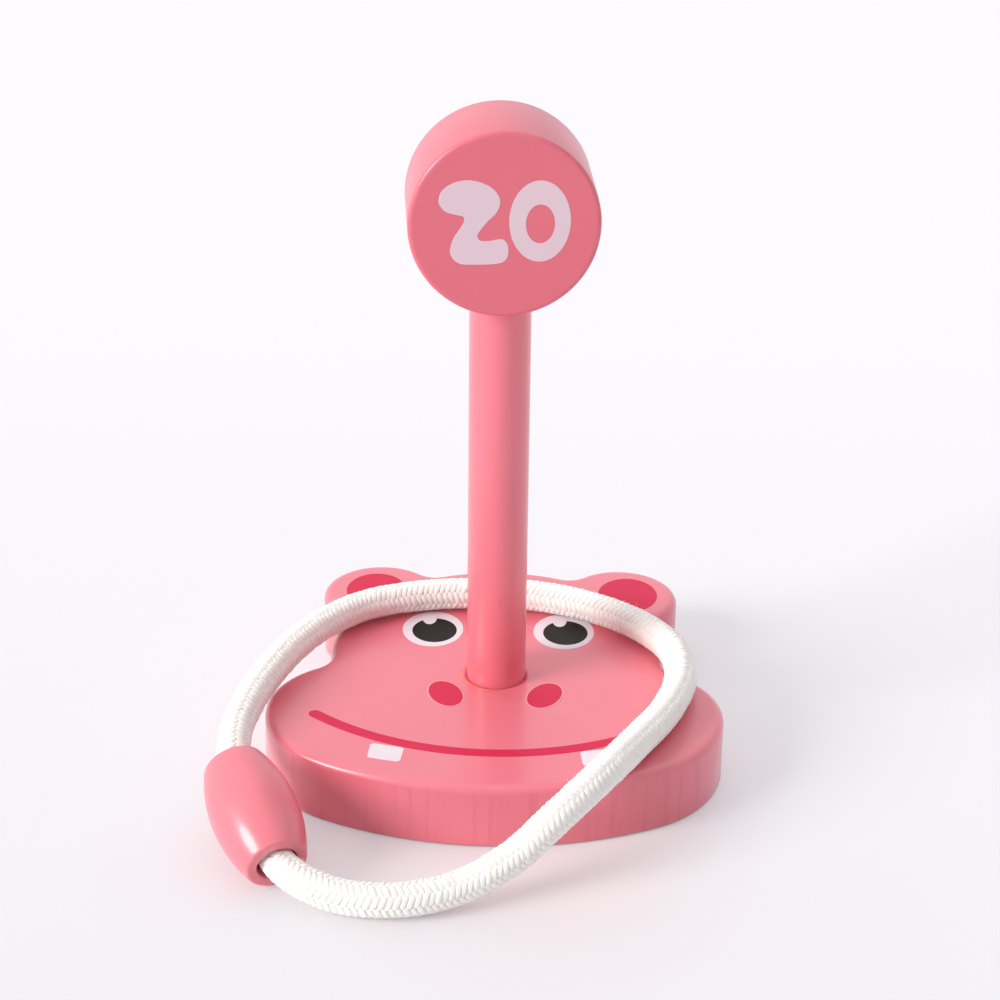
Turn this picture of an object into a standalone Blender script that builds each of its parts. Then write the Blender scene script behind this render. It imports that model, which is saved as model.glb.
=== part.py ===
"""Ring-toss target in painted wood.

A board cut as a hippo's head carries a round post, the post carries a round score disc, and
a rope ring, its two ends joined inside a barrel bead, lies where it fell over the post.

Metres, +Z up. The front looks along -Y. Plan sizes are measured from the post's axis, and one
empty then puts the middle of the board's box at the origin, on the surface it stands on.
"""

import math

import bmesh
import bpy
from mathutils import Vector
from mathutils.geometry import interpolate_bezier

MM = 0.001

# Base plate: a round head with two round ears behind a wide muzzle
BASE_THICKNESS = 16.0 * MM
BASE_TOP_ROUND = 2.0 * MM
BASE_FOOT_ROUND = 1.0 * MM
MUZZLE_WIDTH = 107.4 * MM
MUZZLE_REACH = 50.8 * MM
MUZZLE_FRONT_RADIUS = 84.0 * MM
MUZZLE_CHEEK_RADIUS = 28.5 * MM
MUZZLE_SHOULDER_RADIUS = 21.5 * MM
HEAD_RADIUS = 40.7 * MM
HEAD_SETBACK = 13.3 * MM
EAR_RADIUS = 14.4 * MM
EAR_SPREAD = 30.5 * MM
EAR_SETBACK = 41.5 * MM
NOTCH_RADIUS = 7.0 * MM
EAR_CREASE_RADIUS = 5.0 * MM

# Post: a dowel whose plain ends are its tenons
POST_DIAMETER = 14.0 * MM
POST_SHOWN_HEIGHT = 96.5 * MM
POST_END_ROUND = 0.5 * MM
POST_TURN = math.radians(4.7)
BASE_SOCKET_DEPTH = 11.0 * MM
BASE_SOCKET_CHAMFER = 0.7 * MM
SOCKET_GAP = 0.3 * MM

# Score disc: stands on edge on the post
DISC_DIAMETER = 42.1 * MM
DISC_THICKNESS = 24.0 * MM
DISC_EDGE_ROUND = 1.0 * MM
DISC_SOCKET_DEPTH = 12.0 * MM

# Joining bead: a barrel lying on the floor, its front end low
BEAD_LENGTH = 30.0 * MM
BEAD_DIAMETER = 19.6 * MM
BEAD_END_DIAMETER = 13.8 * MM
BEAD_EDGE_ROUND = 0.5 * MM
BEAD_BORE_GAP = 1.1 * MM
BEAD_MOUTH_EASE = 4.0 * MM
BEAD_X = -51.8 * MM
BEAD_Y = -56.4 * MM
BEAD_HEADING = math.radians(-64.5)
BEAD_TILT = math.radians(16.0)
FLOOR_GAP = 0.1 * MM

# Rope: one length, from the bead's front mouth round the post to its rear mouth
ROPE_DIAMETER = 7.9 * MM
ROPE_REST_GAP = 0.3 * MM
ROPE_END_GAP = 1.0 * MM
ROPE_POINT_SPACING = 2.0 * ROPE_DIAMETER

# Millimetres in plan, then the height: 0 lies on the floor, 1 lies on the base plate
ROPE_ROUTE = [
    (-44.0, -70.5, 0.16), (-39.3, -73.9, 0.09), (-32.5, -76.6, 0.02), (-24.5, -77.8, 0.0),
    (-16.0, -77.0, 0.0), (-6.5, -74.1, 0.06), (4.5, -69.3, 0.32), (15.5, -62.0, 0.78),
    (23.8, -52.5, 0.985), (32.3, -37.5, 1.0), (39.9, -22.5, 1.0), (43.8, -7.0, 1.0),
    (42.3, 6.0, 1.0), (35.5, 17.0, 1.0), (24.5, 26.0, 1.0), (10.0, 32.0, 1.0),
    (-5.0, 33.0, 1.0), (-20.0, 31.0, 1.0), (-33.0, 25.5, 1.0), (-42.6, 15.5, 1.0),
    (-49.0, 3.8, 1.0), (-53.4, -9.0, 1.0), (-56.8, -22.0, 0.97), (-58.6, -33.0, 0.86),
    (-58.3, -40.0, 0.76),
]

# How finely round forms are cut into flats
CHORD_ERROR = 0.03 * MM
POST_SIDES = 64
DISC_SIDES = 96
BEAD_SIDES = 48
BEAD_PROFILE_POINTS = 13
ROUND_SEGMENTS = 3
ROPE_BEVEL_RESOLUTION = 4
ROPE_STEPS_PER_SPAN = 24
MERGE = 0.01 * MM
OVERCUT = 2.0 * MM
RIM_ANGLE = math.radians(40.0)
FLAT_ANGLE = math.radians(0.5)


def clear_scene():
    """Removes every object that the file starts with."""
    for old in list(bpy.data.objects):
        bpy.data.objects.remove(old, do_unlink=True)


def new_collection(name):
    """A collection of the scene."""
    collection = bpy.data.collections.new(name)
    bpy.context.scene.collection.children.link(collection)
    return collection


def paint(name, colour, roughness):
    """A plain material: linear colour, roughness, no metal."""
    material = bpy.data.materials.new(name)
    material.use_nodes = True
    shader = material.node_tree.nodes["Principled BSDF"]
    shader.inputs["Base Color"].default_value = (*colour, 1.0)
    shader.inputs["Roughness"].default_value = roughness
    shader.inputs["Metallic"].default_value = 0.0
    return material


def place(obj, collection, parent, material=None):
    """Moves an object to its collection, under the toy's empty, and gives it its material."""
    for old in list(obj.users_collection):
        old.objects.unlink(obj)
    collection.objects.link(obj)
    obj.parent = parent
    if material is not None:
        obj.data.materials.append(material)
    return obj


def make_cutter(obj, collection, parent):
    """A cutter shows as wire and isn't a piece of the toy."""
    place(obj, collection, parent)
    obj.hide_render = True
    obj.display_type = "WIRE"
    return obj


def cut(obj, cutter):
    """Takes the cutter's space out of the object."""
    boolean = obj.modifiers.new(cutter.name, "BOOLEAN")
    boolean.operation = "DIFFERENCE"
    boolean.object = cutter


def shade_round(obj):
    """Round faces shade smooth, rims stay crisp."""
    obj.data.shade_smooth()
    obj.data.set_sharp_from_angle(angle=RIM_ANGLE)


def round_rims(obj, width):
    """Rounds the edges where two faces meet at a clear angle."""
    bevel = obj.modifiers.new("rounded_rims", "BEVEL")
    bevel.width = width
    bevel.segments = ROUND_SEGMENTS
    bevel.limit_method = "ANGLE"
    bevel.angle_limit = RIM_ANGLE


def cylinder(name, sides, radius, length):
    """An upright cylinder about the origin."""
    bpy.ops.mesh.primitive_cylinder_add(vertices=sides, radius=radius, depth=length)
    obj = bpy.context.object
    obj.name = name
    obj.data.name = name
    return obj


def turned(name, profile, closed, sides):
    """Turns a profile of (radius, height) points about Z. The outer side runs top to bottom."""
    mesh = bpy.data.meshes.new(name)
    corners = [(radius, 0.0, height) for radius, height in profile]
    edges = [(i, i + 1) for i in range(len(corners) - 1)]
    if closed:
        edges.append((len(corners) - 1, 0))
    mesh.from_pydata(corners, edges, [])
    obj = bpy.data.objects.new(name, mesh)
    screw = obj.modifiers.new("turned", "SCREW")
    screw.angle = math.tau
    screw.steps = sides
    screw.render_steps = sides
    screw.use_merge_vertices = True
    screw.merge_threshold = MERGE
    return obj


def arc(centre, start, end, counter_clockwise):
    """Points from start up to, and without, end on the circle about centre."""
    spoke = start - centre
    radius = spoke.length
    first = math.atan2(spoke.y, spoke.x)
    turn = math.atan2(end.y - centre.y, end.x - centre.x) - first
    if counter_clockwise:
        turn = turn % math.tau
    else:
        turn = -((-turn) % math.tau)
    step = 2.0 * math.acos(1.0 - CHORD_ERROR / radius)
    count = max(2, math.ceil(abs(turn) / step))
    angles = [first + turn * i / count for i in range(count)]
    return [centre + radius * Vector((math.cos(a), math.sin(a))) for a in angles]


def crease_centre(first, first_radius, second, second_radius, radius):
    """Centre of the circle that touches two circles from outside, right of first to second."""
    line = second - first
    reach = first_radius + radius
    along = (reach ** 2 - (second_radius + radius) ** 2 + line.length ** 2) / (2.0 * line.length)
    aside = math.sqrt(reach ** 2 - along ** 2)
    ahead = line.normalized()
    right = Vector((ahead.y, -ahead.x))
    return first + along * ahead + aside * right


def head_outline():
    """The board's outline: the right half from the muzzle's front to the head's back, mirrored."""
    half_width = MUZZLE_WIDTH / 2.0
    front = Vector((0.0, MUZZLE_FRONT_RADIUS - MUZZLE_REACH))
    cheek_x = half_width - MUZZLE_CHEEK_RADIUS
    cheek_drop = math.sqrt((MUZZLE_FRONT_RADIUS - MUZZLE_CHEEK_RADIUS) ** 2 - cheek_x ** 2)
    cheek = Vector((cheek_x, front.y - cheek_drop))
    shoulder = Vector((half_width - MUZZLE_SHOULDER_RADIUS, cheek.y))
    head = Vector((0.0, HEAD_SETBACK))
    ear = Vector((EAR_SPREAD, EAR_SETBACK))
    notch = crease_centre(shoulder, MUZZLE_SHOULDER_RADIUS, head, HEAD_RADIUS, NOTCH_RADIUS)
    under_ear = crease_centre(head, HEAD_RADIUS, ear, EAR_RADIUS, EAR_CREASE_RADIUS)
    behind_ear = crease_centre(ear, EAR_RADIUS, head, HEAD_RADIUS, EAR_CREASE_RADIUS)

    def touch(centre, radius, other):
        return centre + radius * (other - centre).normalized()

    runs = [
        (front, touch(front, MUZZLE_FRONT_RADIUS, cheek), True),
        (cheek, Vector((half_width, cheek.y)), True),
        (shoulder, touch(shoulder, MUZZLE_SHOULDER_RADIUS, notch), True),
        (notch, touch(head, HEAD_RADIUS, notch), False),
        (head, touch(head, HEAD_RADIUS, under_ear), True),
        (under_ear, touch(ear, EAR_RADIUS, under_ear), False),
        (ear, touch(ear, EAR_RADIUS, behind_ear), True),
        (behind_ear, touch(head, HEAD_RADIUS, behind_ear), False),
        (head, Vector((0.0, HEAD_SETBACK + HEAD_RADIUS)), True),
    ]
    start = Vector((0.0, -MUZZLE_REACH))
    half = []
    for centre, end, counter_clockwise in runs:
        half += arc(centre, start, end, counter_clockwise)
        start = end
    mirrored = [Vector((-p.x, p.y)) for p in reversed(half[1:])]
    return half + [start] + mirrored


def outline_solid(name, outline, thickness):
    """A flat board of an outline, standing on z = 0, as a mesh with one face on each side."""
    curve = bpy.data.curves.new(name, "CURVE")
    curve.dimensions = "2D"
    curve.fill_mode = "BOTH"
    curve.extrude = thickness / 2.0
    spline = curve.splines.new("POLY")
    spline.points.add(len(outline) - 1)
    for point, place_2d in zip(spline.points, outline):
        point.co = (place_2d.x, place_2d.y, 0.0, 1.0)
    spline.use_cyclic_u = True
    flat = bpy.data.objects.new(name + "_outline", curve)
    flat.location.z = thickness / 2.0
    bpy.context.scene.collection.objects.link(flat)
    bpy.context.view_layer.update()
    evaluated = flat.evaluated_get(bpy.context.evaluated_depsgraph_get())
    mesh = bpy.data.meshes.new_from_object(evaluated)
    mesh.name = name
    solid = bmesh.new()
    solid.from_mesh(mesh)
    bmesh.ops.remove_doubles(solid, verts=solid.verts, dist=MERGE)
    bmesh.ops.dissolve_limit(solid, angle_limit=FLAT_ANGLE, verts=solid.verts, edges=solid.edges)
    bmesh.ops.recalc_face_normals(solid, faces=solid.faces)
    solid.to_mesh(mesh)
    solid.free()
    obj = bpy.data.objects.new(name, mesh)
    obj.matrix_world = flat.matrix_world
    bpy.data.objects.remove(flat, do_unlink=True)
    return obj


def round_board(obj, top_round, foot_round):
    """Rounds the board's upper and lower rims, each to its own radius."""
    widest = max(top_round, foot_round)
    mesh = obj.data
    weights = mesh.attributes.new("bevel_weight_edge", "FLOAT", "EDGE")
    for edge in mesh.edges:
        heights = [mesh.vertices[i].co.z for i in edge.vertices]
        if min(heights) > 0.0:
            weights.data[edge.index].value = top_round / widest
        elif max(heights) < 0.0:
            weights.data[edge.index].value = foot_round / widest
    bevel = obj.modifiers.new("rounded_rims", "BEVEL")
    bevel.width = widest
    bevel.segments = ROUND_SEGMENTS
    bevel.limit_method = "WEIGHT"


def build_base_plate(pieces, cutters, toy):
    """The hippo's head, with a blind, chamfered socket for the post."""
    plate = outline_solid("base_plate", head_outline(), BASE_THICKNESS)
    place(plate, pieces, toy, paint("base_paint", (0.79, 0.25, 0.29), 0.40))
    round_board(plate, BASE_TOP_ROUND, BASE_FOOT_ROUND)
    radius = POST_DIAMETER / 2.0 + SOCKET_GAP
    mouth = BASE_THICKNESS - BASE_SOCKET_CHAMFER
    floor = BASE_THICKNESS - BASE_SOCKET_DEPTH
    flare = BASE_SOCKET_CHAMFER + OVERCUT
    profile = [
        (0.0, mouth + flare), (radius + flare, mouth + flare), (radius, mouth),
        (radius, floor), (0.0, floor),
    ]
    cut(plate, make_cutter(turned("base_socket_cutter", profile, False, POST_SIDES), cutters, toy))
    shade_round(plate)


def build_post(pieces, toy):
    """The dowel, from its seat in the base plate to its seat in the disc."""
    foot = BASE_THICKNESS - BASE_SOCKET_DEPTH + SOCKET_GAP
    head = BASE_THICKNESS + POST_SHOWN_HEIGHT + DISC_SOCKET_DEPTH - SOCKET_GAP
    post = cylinder("post", POST_SIDES, POST_DIAMETER / 2.0, head - foot)
    place(post, pieces, toy, paint("post_paint", (0.80, 0.19, 0.24), 0.42))
    post.location = (0.0, 0.0, (head + foot) / 2.0)
    round_rims(post, POST_END_ROUND)
    shade_round(post)


def build_score_disc(pieces, cutters, toy):
    """The disc on the post's head, bored from below."""
    disc = cylinder("score_disc", DISC_SIDES, DISC_DIAMETER / 2.0, DISC_THICKNESS)
    place(disc, pieces, toy, paint("disc_paint", (0.76, 0.19, 0.25), 0.42))
    underside = BASE_THICKNESS + POST_SHOWN_HEIGHT
    disc.location = (0.0, 0.0, underside + DISC_DIAMETER / 2.0)
    disc.rotation_euler = (math.pi / 2.0, 0.0, POST_TURN)
    round_rims(disc, DISC_EDGE_ROUND)
    radius = POST_DIAMETER / 2.0 + SOCKET_GAP
    depth = DISC_SOCKET_DEPTH + OVERCUT
    bore = make_cutter(cylinder("disc_socket_cutter", POST_SIDES, radius, depth), cutters, toy)
    bore.location = (0.0, 0.0, underside + DISC_SOCKET_DEPTH - depth / 2.0)
    cut(disc, bore)
    shade_round(disc)


def bead_curve_radius():
    """Radius of the arc that swells the bead from its ends to its middle."""
    swell = (BEAD_DIAMETER - BEAD_END_DIAMETER) / 2.0
    return ((BEAD_LENGTH / 2.0) ** 2 + swell ** 2) / (2.0 * swell)


def bead_axis():
    """The way the bead's front mouth faces."""
    level = math.cos(BEAD_TILT)
    return Vector((level * math.cos(BEAD_HEADING), level * math.sin(BEAD_HEADING), -math.sin(BEAD_TILT)))


def bead_centre():
    """The bead's middle, at the height where its lower front side meets the floor."""
    swell_radius = bead_curve_radius()
    height = swell_radius - (swell_radius - BEAD_DIAMETER / 2.0) * math.cos(BEAD_TILT)
    return Vector((BEAD_X, BEAD_Y, height + FLOOR_GAP))


def build_joining_bead(pieces, toy):
    """The barrel that holds the rope's two ends."""
    swell_radius = bead_curve_radius()
    half_angle = math.asin(BEAD_LENGTH / 2.0 / swell_radius)
    last = BEAD_PROFILE_POINTS - 1
    angles = [half_angle * (1.0 - 2.0 * i / last) for i in range(BEAD_PROFILE_POINTS)]
    inset = swell_radius - BEAD_DIAMETER / 2.0
    profile = [(swell_radius * math.cos(a) - inset, swell_radius * math.sin(a)) for a in angles]
    bore = ROPE_DIAMETER / 2.0 + BEAD_BORE_GAP
    profile += [(bore, -BEAD_LENGTH / 2.0), (bore, BEAD_LENGTH / 2.0)]
    bead = turned("joining_bead", profile, True, BEAD_SIDES)
    place(bead, pieces, toy, paint("bead_paint", (0.80, 0.23, 0.29), 0.36))
    bead.location = bead_centre()
    bead.rotation_mode = "QUATERNION"
    bead.rotation_quaternion = bead_axis().to_track_quat("Z", "Y")
    round_rims(bead, BEAD_EDGE_ROUND)
    shade_round(bead)


def rope_knots():
    """The rope's own points: straight through the bead, then round the route and back."""
    low = ROPE_DIAMETER / 2.0 + FLOOR_GAP
    high = BASE_THICKNESS + ROPE_DIAMETER / 2.0 + ROPE_REST_GAP
    middle = bead_centre()
    axis = bead_axis()
    end = axis * ROPE_END_GAP / 2.0
    straight = axis * (BEAD_LENGTH / 2.0 - BEAD_MOUTH_EASE)
    route = [Vector((x * MM, y * MM, low + rise * (high - low))) for x, y, rise in ROPE_ROUTE]
    return [middle + end, middle + straight, *route, middle - straight, middle - end]


def knot_tangents(knots):
    """Unit-speed direction of the rope at each knot, weighted by the lengths beside it."""
    tangents = [(knots[1] - knots[0]).normalized()]
    for before, here, after in zip(knots, knots[1:], knots[2:]):
        back = (here - before).length
        ahead = (after - here).length
        tangents.append((here - before) / back - (after - before) / (back + ahead) + (after - here) / ahead)
    tangents.append((knots[-1] - knots[-2]).normalized())
    return tangents


def smooth_path(knots):
    """Closely spaced points on the smooth curve through the knots."""
    tangents = knot_tangents(knots)
    path = [knots[0]]
    for i in range(len(knots) - 1):
        reach = (knots[i + 1] - knots[i]).length / 3.0
        leave = knots[i] + tangents[i] * reach
        arrive = knots[i + 1] - tangents[i + 1] * reach
        path += interpolate_bezier(knots[i], leave, arrive, knots[i + 1], ROPE_STEPS_PER_SPAN)[1:]
    return path


def even_points(path, spacing):
    """Points at equal steps along a path, its two ends among them."""
    travelled = [0.0]
    for before, here in zip(path, path[1:]):
        travelled.append(travelled[-1] + (here - before).length)
    count = math.ceil(travelled[-1] / spacing)
    points = []
    span = 0
    for i in range(count):
        goal = travelled[-1] * i / count
        while travelled[span + 1] < goal:
            span += 1
        share = (goal - travelled[span]) / (travelled[span + 1] - travelled[span])
        points.append(path[span].lerp(path[span + 1], share))
    return points + [path[-1]]


def build_rope(pieces, toy):
    """The rope as a plain round tube along its route."""
    points = even_points(smooth_path(rope_knots()), ROPE_POINT_SPACING)
    curve = bpy.data.curves.new("rope", "CURVE")
    curve.dimensions = "3D"
    curve.bevel_depth = ROPE_DIAMETER / 2.0
    curve.bevel_resolution = ROPE_BEVEL_RESOLUTION
    curve.use_fill_caps = True
    spline = curve.splines.new("POLY")
    spline.points.add(len(points) - 1)
    for point, spot in zip(spline.points, points):
        point.co = (*spot, 1.0)
    spline.use_smooth = True
    rope = bpy.data.objects.new("rope", curve)
    place(rope, pieces, toy, paint("rope_cotton", (0.86, 0.84, 0.80), 0.90))


def main():
    """Builds the toy."""
    clear_scene()
    pieces = new_collection("ring_toss_hippo")
    cutters = new_collection("cutters")
    toy = bpy.data.objects.new("toy_datum", None)
    pieces.objects.link(toy)
    toy.location.y = (MUZZLE_REACH - EAR_SETBACK - EAR_RADIUS) / 2.0
    build_base_plate(pieces, cutters, toy)
    build_post(pieces, toy)
    build_score_disc(pieces, cutters, toy)
    build_joining_bead(pieces, toy)
    build_rope(pieces, toy)
    bpy.context.view_layer.update()


main()
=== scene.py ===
"""Looks of a ring-toss target: painted wood, a printed face and score, and a braided rope ring.

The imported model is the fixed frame. Each class stands for one sub-assembly. It takes its place
and size from the frame, models the pieces that show, and dresses them in their finish.
"""

import logging
import math
import random
from collections.abc import Callable, Iterator, Sequence
from contextlib import contextmanager
from dataclasses import dataclass, field
from enum import Enum
from functools import cache

import bpy
import numpy as np
from mathutils import Matrix, Vector


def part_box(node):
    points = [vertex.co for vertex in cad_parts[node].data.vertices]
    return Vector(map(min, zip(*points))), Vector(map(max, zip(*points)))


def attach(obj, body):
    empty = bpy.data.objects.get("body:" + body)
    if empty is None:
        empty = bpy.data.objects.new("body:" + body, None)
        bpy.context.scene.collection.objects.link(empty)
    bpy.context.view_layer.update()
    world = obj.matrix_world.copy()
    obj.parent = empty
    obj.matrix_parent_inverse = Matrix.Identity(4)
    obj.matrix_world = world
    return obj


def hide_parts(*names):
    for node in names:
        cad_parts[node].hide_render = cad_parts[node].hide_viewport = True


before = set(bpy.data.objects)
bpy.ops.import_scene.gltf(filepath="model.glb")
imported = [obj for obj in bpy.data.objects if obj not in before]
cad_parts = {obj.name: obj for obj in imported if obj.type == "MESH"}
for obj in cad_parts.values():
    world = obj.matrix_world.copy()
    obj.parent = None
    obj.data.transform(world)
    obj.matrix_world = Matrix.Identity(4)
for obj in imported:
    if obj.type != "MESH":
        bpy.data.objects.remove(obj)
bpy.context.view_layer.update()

LOG = logging.getLogger("ring_toss")
MM = 0.001
MERGE = 0.01 * MM
SMOOTH_ANGLE = math.radians(35.0)
SAME_LINE_ANGLE = math.radians(0.2)
CAP_BORDER = 0.4 * MM
LEVEL_NORMAL = 0.999
PIECE_PLACE = "piece_place"
STRAND_PLACE = "strand_place"
RIM_WEAR = "rim_wear"
GRAIN_SHOW = "grain_show"
# Marks where the painted contact shadow along the board's foot lies.
FOOT_CONTACT_SHADE = "foot_contact_shade"

Pair = tuple[float, float]
Triple = tuple[float, float, float]
Colour = tuple[float, float, float, float]
Outline = list[Vector]
Points = np.ndarray
Piece = bpy.types.Object
Material = bpy.types.Material
NodeTree = bpy.types.NodeTree
Node = bpy.types.Node
Socket = bpy.types.NodeSocket
Value = Socket | float | Sequence[float]
Test = Callable[[Vector, Vector], bool]


@cache
def node_box(node: str) -> tuple[Vector, Vector]:
    """The lowest and highest corner of a node of the frame, read once."""
    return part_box(node)


def linear(red: int, green: int, blue: int) -> Colour:
    """Turns an 8-bit screen colour into the linear colour that shaders read.

    Args:
        red: Red, 0 to 255.
        green: Green, 0 to 255.
        blue: Blue, 0 to 255.

    Returns:
        The linear colour with an alpha of 1.
    """
    shares = [level / 255.0 for level in (red, green, blue)]
    curve = [s / 12.92 if s <= 0.04045 else ((s + 0.055) / 1.055) ** 2.4 for s in shares]
    return (curve[0], curve[1], curve[2], 1.0)


class Side(Enum):
    """A side of the face, or the way a strand goes round, as its sign."""

    LEFT = -1.0
    RIGHT = 1.0

    @property
    def word(self) -> str:
        """The side's name in a piece's name."""
        return self.name.lower()

    def mirrored(self, spot: Sequence[float], shift: float = 0.0) -> Pair:
        """A place on the right, taken to this side and then shifted along X."""
        return (self.value * spot[0] + shift, spot[1])


# Modelling by hand


def deselect_scene() -> None:
    """Selects nothing, so that the next primitive is alone."""
    if bpy.context.mode != "OBJECT":
        bpy.ops.object.mode_set(mode="OBJECT")
    bpy.ops.object.select_all(action="DESELECT")


def activate(piece: Piece) -> None:
    """Makes a piece the only selected one and the active one.

    Args:
        piece: The piece.
    """
    deselect_scene()
    piece.select_set(True)
    bpy.context.view_layer.objects.active = piece


@contextmanager
def editing(piece: Piece) -> Iterator[None]:
    """Opens a piece in edit mode with what was picked before, and closes it again.

    Args:
        piece: The piece to edit.

    Yields:
        Nothing: the operators act on the piece's selection.
    """
    activate(piece)
    bpy.ops.object.mode_set(mode="EDIT")
    yield
    bpy.ops.object.mode_set(mode="OBJECT")


def new_piece(name: str) -> Piece:
    """Names the primitive that was just added.

    Args:
        name: The piece's name.

    Returns:
        The active object.
    """
    piece = bpy.context.object
    piece.name = name
    piece.data.name = name
    return piece


def cylinder(
    name: str, sides: int, radius: float, length: float,
    middle: Triple = (0.0, 0.0, 0.0), turn: Triple = (0.0, 0.0, 0.0),
) -> Piece:
    """Adds a cylinder.

    Args:
        name: Its name.
        sides: How many flats make it round.
        radius: Its radius.
        length: Its length.
        middle: Where its middle lies.
        turn: How it is turned away from Z, about each axis.

    Returns:
        The cylinder, with its place in its mesh.
    """
    deselect_scene()
    bpy.ops.mesh.primitive_cylinder_add(
        vertices=sides, radius=radius, depth=length, location=middle, rotation=turn
    )
    piece = new_piece(name)
    bpy.ops.object.transform_apply(location=True, rotation=True, scale=True)
    return piece


def pick_all() -> None:
    """Selects all of the mesh that is being edited."""
    bpy.ops.mesh.select_all(action="SELECT")


def pick_nothing(piece: Piece) -> None:
    """Clears the selection inside a piece's mesh."""
    for elements in (piece.data.vertices, piece.data.edges, piece.data.polygons):
        elements.foreach_set("select", np.zeros(len(elements), bool))


def pick_edges(piece: Piece, wanted: Test) -> None:
    """Selects the edges whose two ends pass a test.

    Args:
        piece: The piece, in object mode.
        wanted: Takes the places of an edge's ends.
    """
    pick_nothing(piece)
    mesh = piece.data
    for edge in mesh.edges:
        start, end = (mesh.vertices[i].co for i in edge.vertices)
        edge.select = wanted(start, end)
    bpy.context.tool_settings.mesh_select_mode = (False, True, False)


def pick_faces(piece: Piece, wanted: Test) -> None:
    """Selects the faces whose middle and normal pass a test.

    Args:
        piece: The piece, in object mode.
        wanted: Takes a face's middle and its normal.
    """
    pick_nothing(piece)
    for face in piece.data.polygons:
        face.select = wanted(face.center, face.normal)
    bpy.context.tool_settings.mesh_select_mode = (False, False, True)


def at_height(*heights: float) -> Test:
    """A test for edges that lie at one of some heights."""
    return lambda start, end: any(max(abs(start.z - h), abs(end.z - h)) < MERGE for h in heights)


def round_edges(piece: Piece, wanted: Test, radius: float, cuts: int) -> None:
    """Rounds the edges that pass a test.

    Args:
        piece: The piece.
        wanted: Test of an edge's two ends.
        radius: Radius of the round.
        cuts: How many flats make the round.
    """
    pick_edges(piece, wanted)
    with editing(piece):
        bpy.ops.mesh.bevel(offset=radius, offset_type="OFFSET", segments=cuts, affect="EDGES", profile=0.5)


def inset_caps(piece: Piece, width: float = CAP_BORDER) -> None:
    """Gives each level end face a narrow border, which keeps its middle shading flat.

    Args:
        piece: The piece, with its end faces square to Z.
        width: The border's width.
    """
    heights = [vertex.co.z for vertex in piece.data.vertices]
    low = min(heights) + MERGE
    high = max(heights) - MERGE
    pick_faces(piece, lambda middle, normal: abs(normal.z) > LEVEL_NORMAL and not low < middle.z < high)
    with editing(piece):
        bpy.ops.mesh.inset(thickness=width)


def extrude_up(rise: float) -> None:
    """Extrudes what is picked straight up."""
    bpy.ops.mesh.extrude_region_move(TRANSFORM_OT_translate={"value": (0.0, 0.0, rise)})


def cut_out(piece: Piece, cutter: Piece) -> None:
    """Takes the cutter's space out of a piece and removes the cutter.

    Args:
        piece: The piece that is cut.
        cutter: A closed mesh.
    """
    boolean = piece.modifiers.new("cut", "BOOLEAN")
    boolean.operation = "DIFFERENCE"
    boolean.object = cutter
    activate(piece)
    bpy.ops.object.modifier_apply(modifier=boolean.name)
    bpy.data.objects.remove(cutter, do_unlink=True)


def face_out(piece: Piece) -> None:
    """Merges doubles and turns every face outwards.

    Args:
        piece: The piece.
    """
    with editing(piece):
        pick_all()
        bpy.ops.mesh.remove_doubles(threshold=MERGE)
        bpy.ops.mesh.normals_make_consistent(inside=False)


def finish_shape(piece: Piece, place: Matrix) -> None:
    """Keeps the piece's own coordinates as an attribute, shades it and puts its place in its mesh.

    Args:
        piece: The piece, modelled about its own origin.
        place: Where it goes.
    """
    mesh = piece.data
    own = mesh.attributes.new(PIECE_PLACE, "FLOAT_VECTOR", "POINT")
    spots = np.empty(len(mesh.vertices) * 3, np.float32)
    mesh.vertices.foreach_get("co", spots)
    own.data.foreach_set("vector", spots)
    activate(piece)
    bpy.ops.object.shade_smooth_by_angle(angle=SMOOTH_ANGLE)
    piece.matrix_world = place
    bpy.ops.object.transform_apply(location=True, rotation=True, scale=True)


def mark(piece: Piece, name: str, level: Callable[[Vector], float]) -> None:
    """Stores a level from 0 to 1 at each point, which the finish reads.

    Args:
        piece: The piece, modelled about its own origin.
        name: The attribute's name.
        level: Takes a point's place.
    """
    layer = piece.data.attributes.new(name, "FLOAT", "POINT")
    layer.data.foreach_set("value", [level(vertex.co) for vertex in piece.data.vertices])


def dress(piece: Piece, material: Material, body: str) -> None:
    """Gives a piece its finish and lets it ride on its body.

    Args:
        piece: The finished mesh.
        material: Its finish.
        body: The body it moves with.
    """
    piece.data.materials.clear()
    piece.data.materials.append(material)
    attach(piece, body)
    LOG.info("%s rides on %s with %d faces", piece.name, body, len(piece.data.polygons))


# Outlines of the prints


def neighbours(points: Outline) -> Iterator[tuple[Vector, Vector, Vector]]:
    """Each point of a closed outline, between the one before it and the one after it."""
    return zip(points[-1:] + points[:-1], points, points[1:] + points[:1])


def arc_points(centre: Vector, radius: float, start: float, end: float, count: int) -> Outline:
    """Points along an arc, both ends among them.

    Args:
        centre: The arc's centre.
        radius: Its radius.
        start: Where it starts, in radians.
        end: Where it ends, in radians.
        count: How many steps.

    Returns:
        The points.
    """
    angles = [start + (end - start) * i / count for i in range(count + 1)]
    return [centre + radius * Vector((math.cos(a), math.sin(a))) for a in angles]


def ellipse(centre: Pair, semi: Pair, lean: float = 0.0, count: int = 96) -> Outline:
    """An ellipse.

    Args:
        centre: Its middle, in millimetres.
        semi: Its half width and half height, in millimetres.
        lean: How far its top leans towards -X, in degrees.
        count: How many points.

    Returns:
        The outline, in metres.
    """
    turn = Matrix.Rotation(math.radians(lean), 2)
    circle = arc_points(Vector((0.0, 0.0)), 1.0, 0.0, math.tau, count)[:-1]
    return [(Vector(centre) + turn @ (spot * Vector(semi))) * MM for spot in circle]


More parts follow.
